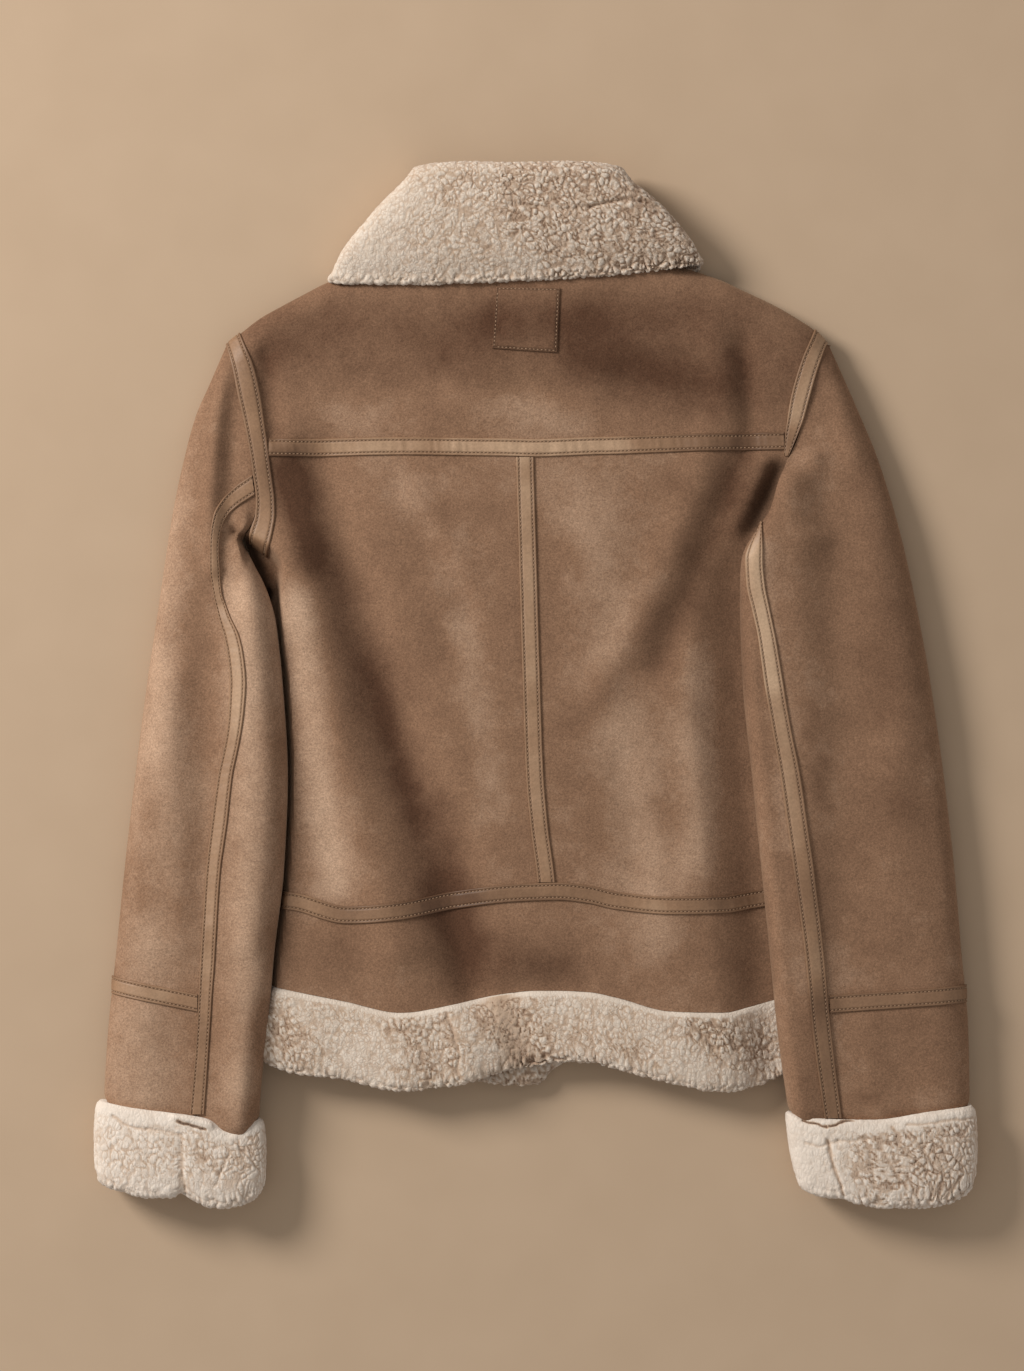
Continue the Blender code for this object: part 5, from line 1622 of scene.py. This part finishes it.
def make_cuff(side, looks):
    """A doubled ring of pile: its rows run down the outside, round the edge and up inside."""
    count = int(2 * (CUFF_WIDE + CUFF_THICK) / CUFF_STEP)
    turn = np.linspace(0, 2 * math.pi, count, endpoint=False)[::-1]
    c, s = np.cos(turn), np.sin(turn)
    radius = CUFF_PILE / 2
    rows = int(CUFF_LENGTH / CUFF_STEP)
    # each row: its share of the way down, how far it is inside and how far past the edge
    stations = [(v, 0.0, 0.0) for v in np.linspace(0, 1, rows)]
    stations += [(1.0, radius * (1 - math.cos(t)), radius * math.sin(t))
                 for t in np.linspace(0, math.pi, CUFF_TURN + 1)[1:]]
    stations += [(v, CUFF_PILE, 0.0) for v in np.linspace(1, 0.02, CUFF_INSIDE)[1:]]
    rings = []
    for v, inset, past in stations:
        out, near, half = (float(CUFF.at(k, v)) for k in (side + "_out", side + "_in", "half"))
        x = (out + near) / 2 + (abs(near - out) / 2 - inset) * np.sign(c) * np.abs(c) ** 0.8
        z = np.sign(s) * np.abs(s) ** 0.6
        z = np.where(z < 0, np.maximum(z / CUFF_FLAT, -1), z)
        low = CUFF_LOW[side].at("y", x) + radius
        top = CUFF_TOP[side].at("y", x)
        y = top + (low - top) * v - past
        rings.append(np.stack([x, y, CUFF_MIDDLE + (half - inset) * z], axis=1))
    loop = np.array(rings)
    run = np.linspace(0, CUFF_LENGTH, rows)
    amount = np.full(len(loop), 0.2)
    amount[:rows] = 1 + TUFT * smooth(run, CUFF_LENGTH - TUFT_REACH, CUFF_LENGTH)
    amount[rows:rows + CUFF_TURN] = 1 + TUFT
    amount[:3] *= 0.4
    amount = amount[:, None] * (1 - 0.7 * smooth(-s, 0.3, 0.9))
    calm = np.zeros(len(loop))
    calm[:rows] = 0.85 * (1 - smooth(run, 8, 15))
    calm = np.maximum(calm[:, None], CUFF_CALM[side].at("calm", loop[..., 0]))
    combed = np.zeros(len(loop))
    combed[:rows] = COMB * np.minimum(CUFF_LENGTH - run, COMB_REACH)
    name = "cuff_" + side
    points, marks = pile(loop, grid_normals(loop, True), name, amount, calm, combed[:, None])
    pile_piece(name, loop, points, marks, looks, wrap_cols=True)


# Looks

CURL = 2.9  # across a curl's fine lines
CURL_BEND = 0.0026  # how far a noise bends the curls, in metres
CURL_BEND_SIZE = 6.0  # and the size of that noise


def new_look(name):
    """A material, its node tree and the place of each point on its piece."""
    look = bpy.data.materials.new(name)
    look.use_nodes = True
    tree = look.node_tree
    return look, tree, tree.nodes.new("ShaderNodeTexCoord").outputs["Object"]


SHADER_INPUTS = {"specular": "Specular IOR Level", "sheen": "Sheen Weight",
                 "sheen_rough": "Sheen Roughness", "sheen_tint": "Sheen Tint"}


def finish_look(tree, base, normal, rough, **more):
    """Joins a colour and a normal to a material's shader, and sets the shader's values."""
    shader = tree.nodes["Principled BSDF"]
    tree.links.new(base, shader.inputs["Base Color"])
    if normal is not None:
        tree.links.new(normal, shader.inputs["Normal"])
    shader.inputs["Roughness"].default_value = rough
    for key, value in more.items():
        shader.inputs[SHADER_INPUTS[key]].default_value = value


def node(tree, kind, **values):
    made = tree.nodes.new(kind)
    for key, value in values.items():
        if key in made.inputs:
            made.inputs[key].default_value = value
        else:
            setattr(made, key, value)
    return made


def join(tree, sockets, values):
    """Gives each socket its value, or a link if the value is another node's output."""
    for socket, value in zip(sockets, values):
        if isinstance(value, bpy.types.NodeSocket):
            tree.links.new(value, socket)
        else:
            socket.default_value = value


def colour(value):
    """A linear colour from an sRGB one, from 0 to 255."""
    c = np.array(value, float) / 255
    return tuple(np.where(c <= 0.04045, c / 12.92, ((c + 0.055) / 1.055) ** 2.4)) + (1.0,)


def grey(value):
    return (value, value, value, 1)


def ramp(tree, source, stops):
    made = tree.nodes.new("ShaderNodeValToRGB")
    elements = made.color_ramp.elements
    while len(elements) < len(stops):
        elements.new(0.5)
    for element, (place, value) in zip(elements, stops):
        element.position = place
        element.color = value
    tree.links.new(source, made.inputs["Fac"])
    return made.outputs["Color"]


def noise_of(tree, where, size, detail, rough=0.55, distortion=0.0):
    """Noise with features of this many millimetres."""
    made = node(tree, "ShaderNodeTexNoise", Scale=1000.0 / size, Detail=detail,
                Roughness=rough, Distortion=distortion)
    tree.links.new(where, made.inputs["Vector"])
    return made.outputs["Fac"]


def mix(tree, share, a, b, blend="MIX"):
    made = node(tree, "ShaderNodeMix", data_type="RGBA", blend_type=blend)
    sockets = {s.identifier: s for s in made.inputs}
    join(tree, (sockets[k] for k in ("Factor_Float", "A_Color", "B_Color")), (share, a, b))
    return next(s for s in made.outputs if s.identifier == "Result_Color")


def bump(tree, height, strength, distance, normal=None):
    made = node(tree, "ShaderNodeBump", Strength=strength, Distance=distance)
    tree.links.new(height, made.inputs["Height"])
    if normal is not None:
        tree.links.new(normal, made.inputs["Normal"])
    return made.outputs["Normal"]


def math_node(tree, operation, *values):
    made = node(tree, "ShaderNodeMath", operation=operation)
    join(tree, made.inputs, values)
    return made.outputs[0]


def vector_node(tree, operation, *values):
    made = node(tree, "ShaderNodeVectorMath", operation=operation)
    join(tree, made.inputs, values)
    return made.outputs[0]


def mark(tree, name):
    return node(tree, "ShaderNodeAttribute", attribute_name=name).outputs["Fac"]


def suede_look():
    look, tree, where = new_look("suede")
    rubbed = math_node(tree, "MULTIPLY_ADD", noise_of(tree, where, 7, 5, 0.75, 0.5), 0.34, -0.17)
    shade = math_node(tree, "ADD", mark(tree, "nap_and_painted_light"), rubbed)
    # the nap mark's tone, with its painted light and shade, sets the suede's colour
    base = ramp(tree, shade, [
        (0.0, colour((88, 61, 45))), (0.5, colour((140, 108, 85))),
        (1.0, colour((194, 163, 138)))])
    grain = ramp(tree, noise_of(tree, where, 1.4, 4, 0.9), [(0.36, grey(0.66)), (0.64, grey(1.3))])
    base = mix(tree, 1.0, base, grain, "MULTIPLY")
    # painted shade: a dark colour in the hollows beside the sleeves and along the patch's stitch
    # groove
    base = mix(tree, mark(tree, "painted_shade"), base, colour((34, 22, 15)))
    normal = bump(tree, noise_of(tree, where, 4.5, 5, 0.65), 0.4, 0.0008)
    normal = bump(tree, noise_of(tree, where, 1.0, 3, 0.7), 0.6, 0.0003, normal)
    finish_look(tree, base, normal, 0.95, specular=0.15, sheen=0.26, sheen_rough=0.45,
                sheen_tint=colour((226, 198, 168)))
    return look


def backing_look():
    look, tree, where = new_look("backing")
    base = ramp(tree, noise_of(tree, where, 3.5, 3, 0.6), [
        (0.35, colour((168, 146, 126))), (0.65, colour((205, 187, 168)))])
    finish_look(tree, base, bump(tree, noise_of(tree, where, 1.6, 3), 0.6, 0.0006), 0.95)
    return look


def tape_look():
    look, tree, where = new_look("tape")
    base = ramp(tree, mark(tree, "nap_and_painted_light"), [
        (0.1, colour((98, 70, 50))), (0.5, colour((150, 117, 90))),
        (1.0, colour((204, 174, 144)))])
    fleck = ramp(tree, noise_of(tree, where, 1.8, 4, 0.65), [(0.3, grey(0.84)), (0.7, grey(1.12))])
    base = mix(tree, 1.0, base, fleck, "MULTIPLY")
    # painted shade: a dark colour in the stitch grooves
    sewn = math_node(tree, "MULTIPLY", mark(tree, "sewn"), 0.75)
    base = mix(tree, sewn, base, (0.07, 0.033, 0.017, 1))
    normal = bump(tree, noise_of(tree, where, 1.2, 3, 0.6), 0.4, 0.0003)
    finish_look(tree, base, normal, 0.5, specular=0.34)
    return look


def pile_look(name, wool_tones, line_tone, stretch):
    """Curly pile: fine lines of painted shade between curls, stretched along the piece, and painted
    shade in its crevices, over its own relief.
    """
    look, tree, where = new_look(name)
    low, high = wool_tones
    wool = ramp(tree, noise_of(tree, where, 14, 4, 0.6), [(0.3, colour(low)), (0.7, colour(high))])
    # the curls: cells bent by a noise
    bend = node(tree, "ShaderNodeTexNoise", Scale=1000.0 / CURL_BEND_SIZE, Detail=2.0)
    tree.links.new(where, bend.inputs["Vector"])
    moved = vector_node(tree, "MULTIPLY_ADD", bend.outputs["Color"], (CURL_BEND,) * 3, where)
    curls = node(tree, "ShaderNodeTexVoronoi", feature="DISTANCE_TO_EDGE", Scale=1000.0 / CURL)
    tree.links.new(vector_node(tree, "MULTIPLY", moved, stretch), curls.inputs["Vector"])
    edge = curls.outputs["Distance"]
    line = ramp(tree, edge, [(0.0, grey(1)), (0.16, grey(0))])
    patchy = ramp(tree, noise_of(tree, where, 13, 3, 0.6), [(0.35, grey(0.25)), (0.65, grey(1))])
    amount = math_node(tree, "MULTIPLY", math_node(tree, "MULTIPLY", line, patchy),
                       mark(tree, "lined"))
    # painted shade in the crevices, darker where they are deeper
    dark = ramp(tree, math_node(tree, "MULTIPLY", mark(tree, "crevice"), 0.5), [
        (0.05, grey(1)), (0.2, colour((226, 212, 199))), (0.34, colour((192, 172, 156))),
        (0.5, colour((156, 132, 114))), (1.0, colour((70, 50, 38)))])
    base = mix(tree, 1.0, wool, dark, "MULTIPLY")
    # the line tone is painted shade between the curls
    base = mix(tree, amount, base, colour(line_tone))
    normal = bump(tree, ramp(tree, edge, [(0.0, grey(0)), (0.3, grey(1))]), 0.35, 0.0006)
    normal = bump(tree, noise_of(tree, where, 0.9, 3, 0.65), 0.6, 0.0004, normal)
    finish_look(tree, base, normal, 0.95, specular=0.15, sheen=0.2, sheen_rough=0.6)
    return look


def thread_look():
    look, tree, where = new_look("thread")
    base = ramp(tree, noise_of(tree, where, 1.0, 2), [
        (0.3, colour((142, 112, 86))), (0.7, colour((168, 136, 108)))])
    finish_look(tree, base, None, 0.6)
    return look


def floor_look():
    look, tree, where = new_look("floor")
    base = ramp(tree, noise_of(tree, where, 60, 2, 0.5), [
        (0.3, colour((189, 165, 140))), (0.7, colour((192, 168, 143)))])
    finish_look(tree, base, None, 0.9, specular=0.1)
    return look


# The place, the lights and the camera

# FLOOR, KEY_FAR and KEY_SIZE are in metres, LOOK_AT and TALL in millimetres like the shapes.
FLOOR = 14.0
KEY_WAY = (-0.70, 0.42, 0.50)
KEY_FAR = 3.6
KEY_SIZE = 1.3
KEY_POWER = 125.0
KEY_TINT = (1.0, 0.965, 0.92)
SKY_TINT = (1.0, 0.97, 0.93, 1)
SKY_STRENGTH = 0.42
LENS = 120.0
SENSOR = 36.0
LOOK_AT = (-17.4, -3.0, 22.0)
TALL = 1014.5  # how much the camera sees from top to bottom


def make_floor():
    bpy.ops.mesh.primitive_plane_add(size=FLOOR, location=(0, 0, 0))
    floor = bpy.context.object
    floor.name = "floor"
    floor.data.materials.append(floor_look())


def make_lights():
    light = bpy.data.lights.new("key", "AREA")
    light.shape = "DISK"
    light.size = KEY_SIZE
    light.energy = KEY_POWER
    light.color = KEY_TINT
    key = bpy.data.objects.new("key", light)
    bpy.context.scene.collection.objects.link(key)
    way = Vector(KEY_WAY).normalized()
    key.location = way * KEY_FAR
    key.rotation_mode = "QUATERNION"
    key.rotation_quaternion = way.to_track_quat("Z", "Y")
    world = bpy.data.worlds.new("studio")
    bpy.context.scene.world = world
    world.use_nodes = True
    sky = world.node_tree.nodes["Background"]
    sky.inputs["Color"].default_value = SKY_TINT
    sky.inputs["Strength"].default_value = SKY_STRENGTH


def make_camera():
    camera = bpy.data.cameras.new("camera")
    camera.lens = LENS
    camera.sensor_width = SENSOR
    camera.sensor_fit = "AUTO"
    obj = bpy.data.objects.new("camera", camera)
    bpy.context.scene.collection.objects.link(obj)
    x, y, z = (v * METRE for v in LOOK_AT)
    obj.location = (x, y, z + TALL * METRE * LENS / SENSOR)
    bpy.context.scene.camera = obj


def main():
    suede, backing, tape = suede_look(), backing_look(), tape_look()
    wool = pile_look("pile", ((207, 192, 176), (223, 210, 196)), (186, 162, 142), (1.0, 0.9, 1.0))
    pale = pile_look("pile_pale", ((218, 204, 190), (233, 221, 209)), (200, 180, 162),
                     (1.0, 0.62, 1.0))
    thread = thread_look()
    make_floor()
    make_body([suede, backing])
    for side in ("left", "right"):
        make_sleeve(side, [suede, backing])
        sleeve_tapes(side, [tape], thread)
        make_cuff(side, [pale])
    seam_tapes([tape], thread)
    make_patch([suede], thread)
    hem_pieces([wool])
    make_collar([wool])
    make_lights()
    make_camera()
    bpy.context.scene.view_settings.view_transform = "Standard"


main()
